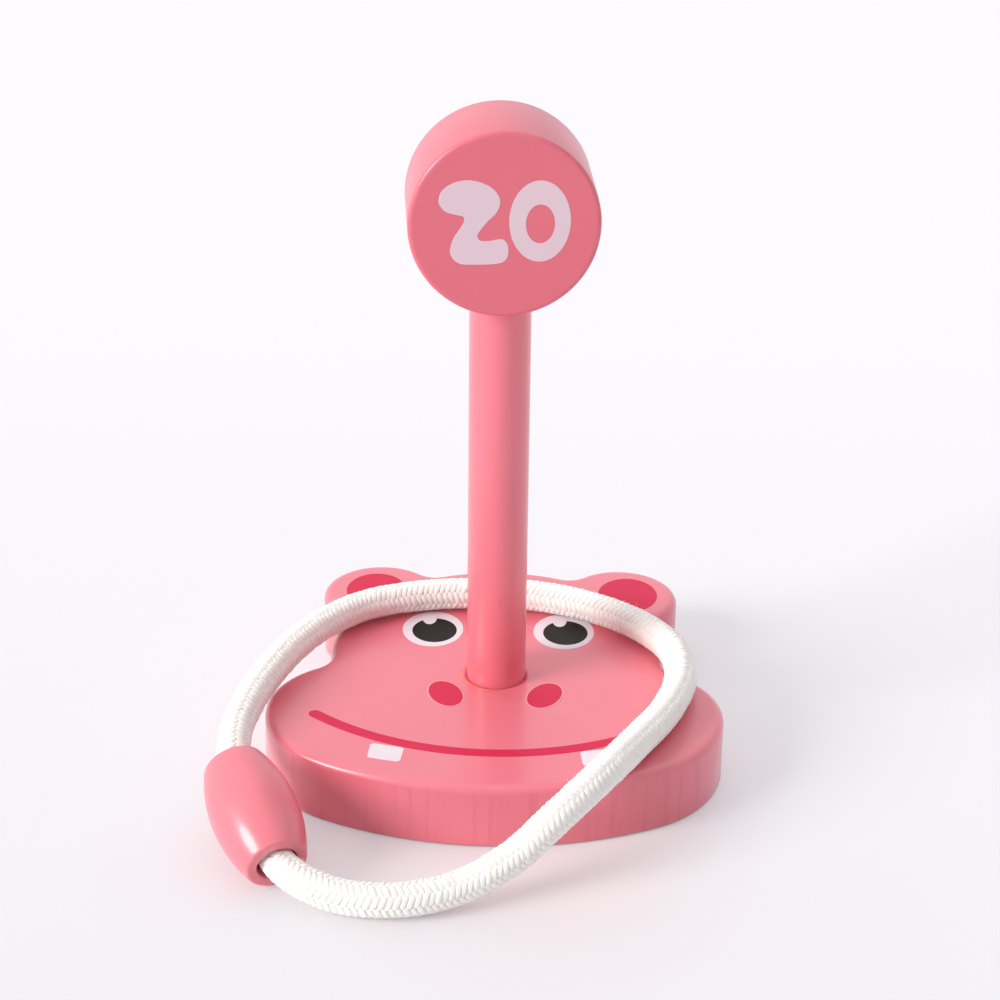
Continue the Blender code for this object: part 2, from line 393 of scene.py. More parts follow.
def rounded_polygon(corners: Outline, radius: float, count: int = 6) -> Outline:
    """A polygon with round corners.

    Args:
        corners: Its corners in order, counter-clockwise, in millimetres.
        radius: Radius of the corners, in millimetres.
        count: Steps in each corner.

    Returns:
        The outline, in metres.
    """
    outline = []
    for before, here, after in neighbours(corners):
        back = (before - here).normalized()
        ahead = (after - here).normalized()
        half = back.angle(ahead) / 2.0
        middle = here + (back + ahead).normalized() * radius / math.sin(half)
        touch = here + back * radius / math.tan(half) - middle
        first = math.atan2(touch.y, touch.x)
        outline += arc_points(middle, radius, first, first + math.pi - 2.0 * half, count)
    return [point * MM for point in outline]


def smooth_loop(points: Sequence[Pair], steps: int = 6) -> Outline:
    """A smooth closed curve through points.

    Args:
        points: The points in order, in millimetres.
        steps: Steps between two points.

    Returns:
        The outline, in metres.
    """
    knots = [Vector(point) for point in points]
    outline = []
    for i in range(len(knots)):
        p0, p1, p2, p3 = (knots[(i + k) % len(knots)] for k in (-1, 0, 1, 2))
        bend = 2.0 * p0 - 5.0 * p1 + 4.0 * p2 - p3
        swing = 3.0 * p1 - p0 - 3.0 * p2 + p3
        for t in (k / steps for k in range(steps)):
            outline.append(0.5 * (2.0 * p1 + (p2 - p0) * t + bend * t * t + swing * t ** 3) * MM)
    return outline


def widened(outline: Outline, width: float) -> Outline:
    """An outline moved outwards all round.

    Args:
        outline: A counter-clockwise outline.
        width: How far, in metres.

    Returns:
        The moved outline.
    """
    moved = []
    for before, here, after in neighbours(outline):
        run = (after - before).normalized()
        moved.append(here + Vector((run.y, -run.x)) * width)
    return moved


def counter_clockwise(outline: Outline) -> Outline:
    """The outline in counter-clockwise order."""
    area = sum(here.x * after.y - after.x * here.y for _, here, after in neighbours(outline))
    return outline if area > 0.0 else outline[::-1]


@dataclass(frozen=True)
class InkFilm:
    """A layer of printed ink: it sinks a little into the paint and stands a little proud."""

    sunk: float = 0.05 * MM
    proud: float = 0.05 * MM
    edge: float = 0.02 * MM
    edge_cuts: int = 2

    def loop(self, name: str, outline: Outline, filled: bool) -> Piece:
        """Lays a circle of points along an outline.

        Args:
            name: The piece's name.
            outline: The outline.
            filled: Whether a face fills it.

        Returns:
            The flat piece.
        """
        deselect_scene()
        fill = "NGON" if filled else "NOTHING"
        bpy.ops.mesh.primitive_circle_add(vertices=len(outline), fill_type=fill)
        piece = new_piece(name)
        for vertex, spot in zip(piece.data.vertices, outline):
            vertex.co = (spot.x, spot.y, -self.sunk)
        return piece

    def build(
        self, name: str, outline: Outline, place: Matrix, hole: Outline | None = None, lift: float = 0.0
    ) -> Piece:
        """Models one printed shape.

        Args:
            name: The piece's name.
            outline: Its outline on the printed face.
            place: The printed face's frame, with Z out of it.
            hole: An outline with as many points, left unprinted.
            lift: How much higher than a first layer it lies.

        Returns:
            The film.
        """
        film = self.loop(name, counter_clockwise(outline), hole is None)
        if hole is not None:
            inner = self.loop(name + "_hole", counter_clockwise(hole), False)
            activate(film)
            inner.select_set(True)
            bpy.ops.object.join()
            with editing(film):
                pick_all()
                bpy.ops.mesh.bridge_edge_loops()
        with editing(film):
            pick_all()
            extrude_up(self.sunk + self.proud + lift)
        face_out(film)
        round_edges(film, at_height(self.proud + lift), self.edge, self.edge_cuts)
        inset_caps(film, 2.0 * self.edge)
        finish_shape(film, place)
        return film


# Finishes


class NodeSheet:
    """Short words for a node tree."""

    def __init__(self, tree: NodeTree) -> None:
        """Keeps the tree that nodes are added to."""
        self.tree = tree

    def add(self, kind: str, **settings: object) -> Node:
        """Adds a node.

        Args:
            kind: The node's type.
            settings: Properties to set on it.

        Returns:
            The node.
        """
        node = self.tree.nodes.new(kind)
        for name, value in settings.items():
            setattr(node, name, value)
        return node

    def feed(self, socket: Socket, value: Value) -> None:
        """Links a socket to another, or sets its value.

        Args:
            socket: The socket that is fed.
            value: Where it is linked to, or its value.
        """
        if isinstance(value, Socket):
            self.tree.links.new(value, socket)
        else:
            socket.default_value = value

    def feed_all(self, node: Node, values: dict[str | int, Value]) -> Node:
        """Feeds several inputs of a node.

        Args:
            node: The node.
            values: What goes to its inputs, by their names or numbers.

        Returns:
            The node.
        """
        for key, value in values.items():
            self.feed(node.inputs[key], value)
        return node

    def maths(self, operation: str, first: Value, second: Value, clamp: bool = False) -> Socket:
        """One sum.

        Args:
            operation: The Math node's operation.
            first: The first value.
            second: The second value.
            clamp: Whether the result stays from 0 to 1.

        Returns:
            The result.
        """
        node = self.add("ShaderNodeMath", operation=operation, use_clamp=clamp)
        return self.feed_all(node, {0: first, 1: second}).outputs[0]

    def times(self, first: Value, second: Value, clamp: bool = False) -> Socket:
        """A product."""
        return self.maths("MULTIPLY", first, second, clamp)

    def plus(self, first: Value, second: Value, clamp: bool = False) -> Socket:
        """A sum of two values."""
        return self.maths("ADD", first, second, clamp)

    def vector_maths(self, operation: str, first: Value, second: Value) -> Node:
        """One sum of two vectors."""
        node = self.add("ShaderNodeVectorMath", operation=operation)
        return self.feed_all(node, {0: first, 1: second})

    def split(self, vector: Socket) -> list[Socket]:
        """A vector's three parts."""
        return list(self.feed_all(self.add("ShaderNodeSeparateXYZ"), {0: vector}).outputs)

    def stretched(self, vector: Socket, factors: Triple) -> Socket:
        """A place multiplied along each axis."""
        return self.vector_maths("MULTIPLY", vector, factors).outputs["Vector"]

    def attribute(self, name: str, output: str = "Vector") -> Socket:
        """Reads what a piece's points carry."""
        return self.add("ShaderNodeAttribute", attribute_name=name).outputs[output]

    def mask(self, value: Socket, low: float, high: float, top: float = 1.0) -> Socket:
        """A smooth step.

        Args:
            value: The value that is stepped.
            low: Where the step starts.
            high: Where it ends.
            top: What it reaches.

        Returns:
            A value from 0 to top.
        """
        node = self.add("ShaderNodeMapRange", interpolation_type="SMOOTHSTEP")
        steps = {"Value": value, "From Min": low, "From Max": high, "To Max": top}
        return self.feed_all(node, steps).outputs["Result"]

    def mix(self, share: Value, first: Value, second: Value) -> Socket:
        """Mixes two colours.

        Args:
            share: How much of the second.
            first: The first colour.
            second: The second colour.

        Returns:
            The mixed colour.
        """
        node = self.add("ShaderNodeMix", data_type="RGBA")
        return self.feed_all(node, {"Factor": share, "A": first, "B": second}).outputs["Result"]


@dataclass(frozen=True)
class Noise:
    """A noise: its waves per metre, its finer layers, and how strong those are."""

    scale: float
    detail: float
    rough: float

    def draw(self, sheet: NodeSheet, place: Socket) -> Socket:
        """The noise's value at a place, around 0.5."""
        values = {"Vector": place, "Scale": self.scale, "Detail": self.detail, "Roughness": self.rough}
        return sheet.feed_all(sheet.add("ShaderNodeTexNoise"), values).outputs["Fac"]


@dataclass(frozen=True)
class Patches:
    """Soft patches: a noise, where in it a patch starts and is full, and how strong it is there."""

    noise: Noise
    low: float
    high: float
    top: float = 1.0

    def draw(self, sheet: NodeSheet, place: Socket) -> Socket:
        """The patches' strength at a place."""
        return sheet.mask(self.noise.draw(sheet, place), self.low, self.high, self.top)


VECTOR = "NodeSocketVector"
COLOUR = "NodeSocketColor"
VALUE = "NodeSocketFloat"
GROUP_OUTPUTS = {"Color": COLOUR, "Roughness": VALUE, "Height": VALUE}


class EffectGroup:
    """A shader node group that several materials share. It puts out a surface."""

    def __init__(self, name: str, inputs: dict[str, str]) -> None:
        """Makes the empty group.

        Args:
            name: The group's name.
            inputs: The kinds of its inputs by name.
        """
        self.tree = bpy.data.node_groups.new(name, "ShaderNodeTree")
        for way, sockets in (("INPUT", inputs), ("OUTPUT", GROUP_OUTPUTS)):
            for title, kind in sockets.items():
                self.tree.interface.new_socket(title, in_out=way, socket_type=kind)
        self.sheet = NodeSheet(self.tree)
        self.given = self.sheet.add("NodeGroupInput").outputs

    def finish(self, colour: Socket, roughness: Socket, height: Socket) -> NodeTree:
        """Links what the group puts out.

        Args:
            colour: The surface's colour.
            roughness: Its roughness.
            height: Its relief.

        Returns:
            The finished group.
        """
        surface = {"Color": colour, "Roughness": roughness, "Height": height}
        self.sheet.feed_all(self.sheet.add("NodeGroupOutput"), surface)
        return self.tree


@dataclass(frozen=True)
class PaintEffect:
    """Paint on wood: soft mottling, grain that shows through, dust nibs, thin rims, and a painted contact
    shadow along the foot.
    """

    mottle: Patches = Patches(Noise(30.0, 3.0, 0.55), 0.32, 0.68, 0.12)
    grain: Noise = Noise(160.0, 4.0, 0.6)
    pores: Pair = (0.48, 0.70)
    scuffs: Patches = Patches(Noise(330.0, 1.0, 0.4), 0.76, 0.81, 0.40)
    scuff_stretch: Triple = (1.0, 1.0, 3.0)
    rubbed: Patches = Patches(Noise(420.0, 3.0, 0.6), 0.40, 0.66)
    nibs: Patches = Patches(Noise(950.0, 1.0, 0.4), 0.76, 0.82)
    nib_share: float = 0.30
    nib_height: float = 0.6
    # Colour of the painted contact shadow along the board's foot.
    grime: Colour = linear(92, 46, 50)
    haze: Noise = Noise(140.0, 3.0, 0.6)
    haze_share: float = 0.14
    roughness: float = 0.31
    peel: Noise = Noise(620.0, 2.0, 0.5)
    peel_height: float = 0.4
    grain_height: float = 1.2

    def group(self) -> NodeTree:
        """Builds the effect.

        Returns:
            The group.
        """
        colours = dict.fromkeys(("Paint", "Shade", "Thin"), COLOUR)
        marks = dict.fromkeys(("Wear", "Show", "Grime"), VALUE)
        group = EffectGroup("paint_on_wood", {"Place": VECTOR, "Grain": VECTOR, **colours, **marks})
        sheet, given = group.sheet, group.given
        place, thin = given["Place"], given["Thin"]
        grain = self.grain.draw(sheet, given["Grain"])
        nibs = self.nibs.draw(sheet, place)
        toned = given["Paint"]
        for shaded in (
            self.mottle.draw(sheet, place),
            sheet.times(sheet.mask(grain, *self.pores), given["Show"], clamp=True),
            self.scuffs.draw(sheet, sheet.stretched(given["Grain"], self.scuff_stretch)),
        ):
            toned = sheet.mix(shaded, toned, given["Shade"])
        worn = sheet.times(self.rubbed.draw(sheet, place), given["Wear"], clamp=True)
        toned = sheet.mix(worn, toned, thin)
        toned = sheet.mix(sheet.times(nibs, self.nib_share), toned, thin)
        # Painted contact shadow: the foot's lowest band is darkened towards deep maroon.
        toned = sheet.mix(given["Grime"], toned, self.grime)
        haze = sheet.times(self.haze.draw(sheet, place), self.haze_share)
        ridges = sheet.times(sheet.times(grain, given["Show"]), self.grain_height)
        relief = sheet.plus(ridges, sheet.times(self.peel.draw(sheet, place), self.peel_height))
        relief = sheet.plus(relief, sheet.times(nibs, self.nib_height))
        return group.finish(toned, sheet.plus(haze, self.roughness), relief)


@dataclass(frozen=True)
class InkEffect:
    """Screen-printed ink: uneven cover, a few pinholes and a fine screen texture."""

    cover: Patches = Patches(Noise(130.0, 4.0, 0.6), 0.35, 0.75, 0.22)
    pinholes: Patches = Patches(Noise(1500.0, 1.0, 0.4), 0.70, 0.78, 0.45)
    haze: Noise = Noise(240.0, 2.0, 0.5)
    haze_share: float = 0.2
    roughness: float = 0.34
    screen: Noise = Noise(1200.0, 2.0, 0.5)

    def group(self) -> NodeTree:
        """Builds the effect.

        Returns:
            The group.
        """
        group = EffectGroup("printed_ink", {"Place": VECTOR, "Ink": COLOUR, "Thin": COLOUR})
        sheet, given = group.sheet, group.given
        place, thin = given["Place"], given["Thin"]
        toned = sheet.mix(self.cover.draw(sheet, place), given["Ink"], thin)
        toned = sheet.mix(self.pinholes.draw(sheet, place), toned, thin)
        haze = sheet.times(self.haze.draw(sheet, place), self.haze_share)
        return group.finish(toned, sheet.plus(haze, self.roughness), self.screen.draw(sheet, place))


@dataclass(frozen=True)
class CottonEffect:
    """Cotton yarn: plied threads along each strand, loose fibre, soft colour changes, and painted shade in
    the creases between strands and threads.
    """

    threads_round: float = 9.0
    threads_along: float = 420.0
    thread_height: float = 0.6
    furrow_shade_share: float = 0.16
    fibre: Noise = Noise(1.0, 4.0, 0.65)
    fibre_stretch: Triple = (700.0, 30.0, 0.0)
    fibre_height: float = 0.5
    fibre_roughness: float = 0.15
    roughness: float = 0.82
    # Crown and the share below set the painted shade on the strands' low sides; drift is tone that changes
    # at random.
    crown: Pair = (0.15, 0.75)
    crease_shade_share: float = 0.34
    drift: Patches = Patches(Noise(60.0, 3.0, 0.5), 0.35, 0.7, 0.16)

    def group(self) -> NodeTree:
        """Builds the effect.

        Returns:
            The group.
        """
        inputs = {"Strand": VECTOR, "Place": VECTOR, "Cotton": COLOUR, "Hollow": COLOUR}
        group = EffectGroup("cotton_yarn", inputs)
        sheet, given = group.sheet, group.given
        along, around, crown = sheet.split(given["Strand"])
        twist = sheet.plus(sheet.times(around, self.threads_round), sheet.times(along, self.threads_along))
        wave = sheet.maths("SINE", sheet.times(twist, math.pi), 0.0)
        thread = sheet.maths("ABSOLUTE", wave, 0.0)
        fibre = self.fibre.draw(sheet, sheet.stretched(given["Strand"], self.fibre_stretch))
        # Painted shade: the low sides of each strand and the furrows between its threads are darkened
        # towards the shade colour.
        low = sheet.maths("SUBTRACT", 1.0, sheet.mask(crown, *self.crown), clamp=True)
        furrow_shade = sheet.times(sheet.maths("SUBTRACT", 1.0, thread), self.furrow_shade_share)
        crease_shade = sheet.plus(sheet.times(low, self.crease_shade_share), furrow_shade, clamp=True)
        toned = sheet.mix(crease_shade, given["Cotton"], given["Hollow"])
        toned = sheet.mix(self.drift.draw(sheet, given["Place"]), toned, given["Hollow"])
        roughness = sheet.plus(sheet.times(fibre, self.fibre_roughness), self.roughness)
        relief = sheet.plus(sheet.times(thread, self.thread_height), sheet.times(fibre, self.fibre_height))
        return group.finish(toned, roughness, relief)


class Effects:
    """The shared node groups, built once."""

    def __init__(self) -> None:
        """Builds the groups."""
        self.paint = PaintEffect().group()
        self.ink = InkEffect().group()
        self.cotton = CottonEffect().group()


class Surface:
    """A new material with its shader."""

    def __init__(self, name: str) -> None:
        """Makes the material.

        Args:
            name: The material's name.
        """
        self.material = bpy.data.materials.new(name)
        self.material.use_nodes = True
        self.sheet = NodeSheet(self.material.node_tree)
        self.shader = self.material.node_tree.nodes["Principled BSDF"]

    def place(self, group: NodeTree, depth: float, values: dict[str, Value]) -> None:
        """Places a shared effect and links its colour, roughness and relief.

        Args:
            group: The shared effect.
            depth: Depth of the relief, in metres.
            values: What goes to the effect's inputs, by name.
        """
        sheet = self.sheet
        made = sheet.feed_all(sheet.add("ShaderNodeGroup", node_tree=group), values).outputs
        bump = sheet.feed_all(sheet.add("ShaderNodeBump"), {"Distance": depth, "Height": made["Height"]})
        linked = {"Base Color": made["Color"], "Roughness": made["Roughness"]}
        sheet.feed_all(self.shader, {**linked, "Normal": bump.outputs["Normal"]})


@dataclass(frozen=True)
class PaintFinish:
    """Satin paint on wood. The grain says how closely its lines lie along each axis."""

    name: str
    paint: Colour
    grain: Triple
    coat: float = 0.30
    coat_roughness: float = 0.20
    shade: Colour = linear(215, 91, 105)
    thin: Colour = linear(232, 148, 158)
    relief: float = 0.03 * MM

    def material(self, effects: Effects) -> Material:
        """Makes the paint's material.

        Args:
            effects: The shared node groups.

        Returns:
            The material.
        """
        surface = Surface(self.name)
        sheet = surface.sheet
        place = sheet.attribute(PIECE_PLACE)
        values = {"Place": place, "Grain": sheet.stretched(place, self.grain)}
        values |= {"Paint": self.paint, "Shade": self.shade, "Thin": self.thin}
        # The foot mark carries the painted contact shadow; wear and grain are the paint's own.
        for name, layer in (("Wear", RIM_WEAR), ("Show", GRAIN_SHOW), ("Grime", FOOT_CONTACT_SHADE)):
            values[name] = sheet.attribute(layer, "Fac")
        surface.place(effects.paint, self.relief, values)
        sheet.feed_all(surface.shader, {"Coat Weight": self.coat, "Coat Roughness": self.coat_roughness})
        return surface.material


@dataclass(frozen=True)
class InkFinish:
    """Printed ink, and the record's slot for it."""

    name: str
    slot: str
    ink: Colour
    thin: Colour
    shine: float = 0.18
    relief: float = 0.006 * MM

    def material(self, effects: Effects) -> Material:
        """Makes the ink's material.

        Args:
            effects: The shared node groups.

        Returns:
            The material.
        """
        surface = Surface(self.name)
        values = {"Place": surface.sheet.attribute(PIECE_PLACE), "Ink": self.ink, "Thin": self.thin}
        surface.place(effects.ink, self.relief, values)
        surface.sheet.feed_all(surface.shader, {"Specular IOR Level": self.shine})
        return surface.material


@dataclass(frozen=True)
class CottonFinish:
    """Natural cotton."""

    name: str
    cotton: Colour
    # Colour of the painted shade in the creases, and of the soft drift of tone.
    hollow: Colour
    relief: float = 0.06 * MM
    sheen: float = 0.60
    sheen_roughness: float = 0.5
    shine: float = 0.2

    def material(self, effects: Effects) -> Material:
        """Makes the cotton's material.

        Args:
            effects: The shared node groups.

        Returns:
            The material.
        """
        surface = Surface(self.name)
        sheet = surface.sheet
        values = {"Strand": sheet.attribute(STRAND_PLACE), "Cotton": self.cotton, "Hollow": self.hollow}
        values["Place"] = sheet.add("ShaderNodeTexCoord").outputs["Object"]
        surface.place(effects.cotton, self.relief, values)
        sheen = {"Sheen Weight": self.sheen, "Sheen Roughness": self.sheen_roughness}
        sheet.feed_all(surface.shader, {**sheen, "Specular IOR Level": self.shine})
        return surface.material


BOARD_PAINT = PaintFinish("board_paint", linear(231, 117, 132), (2.6, 2.8, 0.10), 0.72, 0.18)
POST_PAINT = PaintFinish("post_paint", linear(235, 117, 131), (1.0, 1.0, 0.06), 0.80, 0.30)
DISC_PAINT = PaintFinish("disc_paint", linear(222, 105, 121), (0.5, 1.0, 0.15))
BEAD_PAINT = PaintFinish("bead_paint", linear(234, 120, 133), (1.0, 1.0, 0.10), 0.55, 0.17)
# The cotton's second colour is its painted crease shade.
ROPE_COTTON = CottonFinish("rope_cotton", linear(249, 246, 241), linear(240, 236, 229))


class Ink(Enum):
    """The inks of the face and the score, and the bare wood that shows round the socket."""

    WHITE = InkFinish("white_ink", "print_white", linear(232, 221, 228), linear(229, 212, 220))
    SCORE = InkFinish("score_ink", "print_white", linear(222, 198, 208), linear(218, 191, 201))
    BLACK = InkFinish("black_ink", "print_black", linear(28, 25, 25), linear(42, 38, 39))
    MAGENTA = InkFinish("magenta_ink", "print_magenta", linear(211, 36, 75), linear(213, 50, 86))
    HALO = InkFinish("halo_ink", "base_paint", linear(232, 147, 159), linear(231, 139, 151), 0.5)
    BARE = InkFinish("bare_edge", "base_paint", linear(232, 141, 109), linear(223, 128, 100))


# The sub-assemblies


@dataclass(frozen=True)
class PostAxis:
    """Where the post stands and how thick it is, read from the frame."""

    x: float
    y: float
    radius: float

    @classmethod
    def from_frame(cls) -> "PostAxis":
        """Reads the axis from the post's box."""
        low, high = node_box("post")
        return cls((low.x + high.x) / 2.0, (low.y + high.y) / 2.0, (high.x - low.x) / 2.0)

    def matrix(self, height: float = 0.0) -> Matrix:
        """The frame on the axis at a height."""
        return Matrix.Translation((self.x, self.y, height))


@dataclass
class HippoBoard:
    """The base plate: a thick board in the shape of the head, with a chamfered socket."""

    axis: PostAxis
    node: str = "base_plate"
    body: str = "base"
    top_round: float = 2.0 * MM
    top_cuts: int = 6
    foot_round: float = 0.9 * MM
    foot_cuts: int = 4
    trace_height: float = 3.0 * MM
    socket_gap: float = 0.06 * MM
    socket_depth: float = 11.0 * MM
    socket_sides: int = 96
    flare_width: float = 0.9 * MM
    flare_depth: float = 0.16 * MM
    socket_reach: float = 10.0 * MM
    rim_wear: float = 0.10
    side_grain: float = 0.36
    top_grain: float = 0.03
    # Strength and height of the painted contact shadow along the foot.
    foot_contact_shade: float = 0.9
    contact_shade_share: float = 0.4

    @property
    def foot(self) -> float:
        """Height of the board's underside."""
        return node_box(self.node)[0].z

    @property
    def top(self) -> float:
        """Height of the board's top."""
        return node_box(self.node)[1].z

    def outline_slab(self) -> Piece:
        """Traces the node's outline below its socket and raises it to the board's thickness.

        Returns:
            The slab, about the post's axis.
        """
        deselect_scene()
        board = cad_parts[self.node].copy()
        board.data = board.data.copy()
        board.parent = None
        for key in list(board.keys()):
            del board[key]
        bpy.context.scene.collection.objects.link(board)
        board.name = "hippo_board"
        board.data.name = "hippo_board"
        board.data.transform(self.axis.matrix().inverted())
        bpy.context.tool_settings.mesh_select_mode = (True, False, False)
        with editing(board):
            pick_all()
            bpy.ops.mesh.remove_doubles(threshold=MERGE)
            pick_all()
            bpy.ops.mesh.bisect(
                plane_co=(0.0, 0.0, self.trace_height), plane_no=(0.0, 0.0, 1.0),
                clear_inner=True, clear_outer=True,
            )
            pick_all()
            bpy.ops.mesh.dissolve_limited(angle_limit=SAME_LINE_ANGLE)
            pick_all()
            bpy.ops.mesh.edge_face_add()
            bpy.ops.transform.translate(value=(0.0, 0.0, self.foot - self.trace_height))
            extrude_up(self.top - self.foot)
        face_out(board)
        return board

    def socket_cutter(self) -> Piece:
        """Models the socket's space: a bore with a flared mouth.

        Returns:
            The cutter, about the post's axis.
        """
        radius = self.axis.radius + self.socket_gap
        mouth = self.top - self.flare_depth
        depth = self.socket_depth - self.flare_depth
        place = (0.0, 0.0, mouth - depth / 2.0)
        cutter = cylinder("socket_space", self.socket_sides, radius, depth, place)
        pick_faces(cutter, lambda middle, normal: normal.z > LEVEL_NORMAL)
        wider = (radius + 2.0 * self.flare_width) / radius
        with editing(cutter):
            extrude_up(2.0 * self.flare_depth)
            bpy.ops.transform.resize(value=(wider, wider, 1.0))
        return cutter

    def off_socket(self, spot: Vector) -> bool:
        """Whether a point lies clear of the socket."""
        return math.hypot(spot.x, spot.y) > self.socket_reach

    def wear(self, spot: Vector) -> float:
        """Thin paint on the rounded upper rim."""
        on_rim = self.top - self.top_round + MERGE < spot.z < self.top - MERGE
        return self.rim_wear if on_rim and self.off_socket(spot) else 0.0

    def grain(self, spot: Vector) -> float:
        """Grain that shows on the sides, and hardly on the top."""
        on_side = self.foot + MERGE < spot.z < self.top - self.top_round + MERGE
        return self.side_grain if on_side and self.off_socket(spot) else self.top_grain

    def grime(self, spot: Vector) -> float:
        """Painted contact shadow along the foot, where the board meets the floor."""
        return self.foot_contact_shade if spot.z < self.foot + self.foot_round * self.contact_shade_share else 0.0

    def build(self) -> Piece:
        """Models the board.

        Returns:
            The finished board.
        """
        board = self.outline_slab()
        round_edges(board, at_height(self.top), self.top_round, self.top_cuts)
        round_edges(board, at_height(self.foot), self.foot_round, self.foot_cuts)
        inset_caps(board)
        cut_out(board, self.socket_cutter())
        mark(board, RIM_WEAR, self.wear)
        mark(board, GRAIN_SHOW, self.grain)
        mark(board, FOOT_CONTACT_SHADE, self.grime)
        finish_shape(board, self.axis.matrix())
        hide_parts(self.node)
        return board


@dataclass
class FacePrints:
    """The printed face on the board. Places are in millimetres from the post's axis."""

    axis: PostAxis
    inks: dict[Ink, Material]
    body: str = "base"
    film: InkFilm = InkFilm()
    layer: float = 0.03 * MM
    nostril: Pair = (11.7, -9.97)
    nostril_semi: Pair = (3.8, 5.95)
    nostril_lean: float = 20.0
    halo: float = 0.45 * MM
    eye: Pair = (16.2, 21.6)
    eye_semi: Pair = (7.5, 8.9)
    pupil: Pair = (16.2, 20.9)
    pupil_shift: float = 0.4
    pupil_semi: Pair = (5.5, 6.1)
    glint_shift: Pair = (-1.45, 6.0)
    glint_semi: Pair = (1.75, 3.0)
    ear: Pair = (32.05, 41.7)
    ear_shift: float = 0.35
    ear_semi: Pair = (7.5, 8.9)
    mouth_centre: Pair = (0.0, 26.7)
    mouth_radius: float = 63.0
    mouth_width: float = 3.0
    mouth_middle: float = -90.0
    mouth_half_angle: float = 41.4
    tooth: tuple[Pair, ...] = ((20.0, -34.9), (20.7, -41.0), (28.2, -39.3), (27.8, -33.0))
    tooth_corner: float = 0.9
    bare_radius: float = 8.1
    bare_width: float = 0.38
    bare_angles: Pair = (150.0, 262.0)
    band_steps: int = 90
    band_end_steps: int = 10

    def band(self, centre: Pair, radius: float, width: float, angles: Pair) -> Outline:
        """A band along an arc, with round ends.

        Args:
            centre: The arc's centre, in millimetres.
            radius: Its radius, in millimetres.
            width: The band's width, in millimetres.
            angles: Where it starts and ends, in degrees counter-clockwise from +X.

        Returns:
            The outline, in metres.
        """
        half = width / 2.0
        middle = Vector(centre)
        first, last = (math.radians(angle) for angle in angles)
        start, end = arc_points(middle, radius, first, last, 1)
        outline = arc_points(middle, radius + half, first, last, self.band_steps)
        outline += arc_points(end, half, last, last + math.pi, self.band_end_steps)[1:-1]
        outline += arc_points(middle, radius - half, last, first, self.band_steps)
        outline += arc_points(start, half, first + math.pi, first + math.tau, self.band_end_steps)[1:-1]
        return [point * MM for point in outline]

    def put(self, name: str, outline: Outline, ink: Ink, level: int = 0) -> None:
        """Prints one shape on the board's top.

        Args:
            name: The film's name.
            outline: Its outline.
            ink: Its ink.
            level: How many layers lie under it.
        """
        place = self.axis.matrix(node_box("base_plate")[1].z)
        film = self.film.build(name, outline, place, lift=level * self.layer)
        dress(film, self.inks[ink], self.body)

    def half_face(self, side: Side) -> None:
        """Prints one side's nostril, eye, ear and tooth.

        Args:
            side: Which side.
        """
        word = side.word
        nostril = ellipse(side.mirrored(self.nostril), self.nostril_semi, -side.value * self.nostril_lean)
        self.put(f"nostril_halo_{word}", widened(nostril, self.halo), Ink.HALO)
        self.put(f"nostril_{word}", nostril, Ink.MAGENTA, 1)
        self.put(f"eye_white_{word}", ellipse(side.mirrored(self.eye), self.eye_semi), Ink.WHITE)
        pupil = side.mirrored(self.pupil, self.pupil_shift)
        self.put(f"pupil_{word}", ellipse(pupil, self.pupil_semi), Ink.BLACK, 1)
        glint = (pupil[0] + self.glint_shift[0], pupil[1] + self.glint_shift[1])
        self.put(f"eye_glint_{word}", ellipse(glint, self.glint_semi), Ink.WHITE, 2)
        ear = side.mirrored(self.ear, self.ear_shift)
        self.put(f"inner_ear_{word}", ellipse(ear, self.ear_semi), Ink.MAGENTA)
        corners = counter_clockwise([Vector(side.mirrored(corner)) for corner in self.tooth])
        self.put(f"tooth_{word}", rounded_polygon(corners, self.tooth_corner), Ink.WHITE)

    def build(self) -> None:
        """Prints the whole face."""
        spread = (self.mouth_middle - self.mouth_half_angle, self.mouth_middle + self.mouth_half_angle)
        mouth = self.band(self.mouth_centre, self.mouth_radius, self.mouth_width, spread)
        self.put("mouth", mouth, Ink.MAGENTA, 1)
        bare = self.band((0.0, 0.0), self.bare_radius, self.bare_width, self.bare_angles)
        self.put("socket_bare_edge", bare, Ink.BARE)
        for side in Side:
            self.half_face(side)


@dataclass
class Post:
    """The dowel."""

    axis: PostAxis
    node: str = "post"
    body: str = "post"
    end_round: float = 0.5 * MM
    end_cuts: int = 4
    sides: int = 96
    length_cuts: int = 11
    grain: float = 0.18

    def build(self) -> Piece:
        """Models the dowel with rounded ends.

        Returns:
            The finished post.
        """
        low, high = node_box(self.node)
        length = high.z - low.z
        half = length / 2.0
        post = cylinder("dowel_post", self.sides, self.axis.radius, length)
        round_edges(post, at_height(half, -half), self.end_round, self.end_cuts)
        inset_caps(post)
        pick_edges(post, lambda start, end: abs(start.z - end.z) > half)
        with editing(post):
            bpy.ops.mesh.subdivide(number_cuts=self.length_cuts)
        mark(post, GRAIN_SHOW, lambda spot: self.grain)
        finish_shape(post, self.axis.matrix((low.z + high.z) / 2.0))
        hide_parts(self.node)
        return post


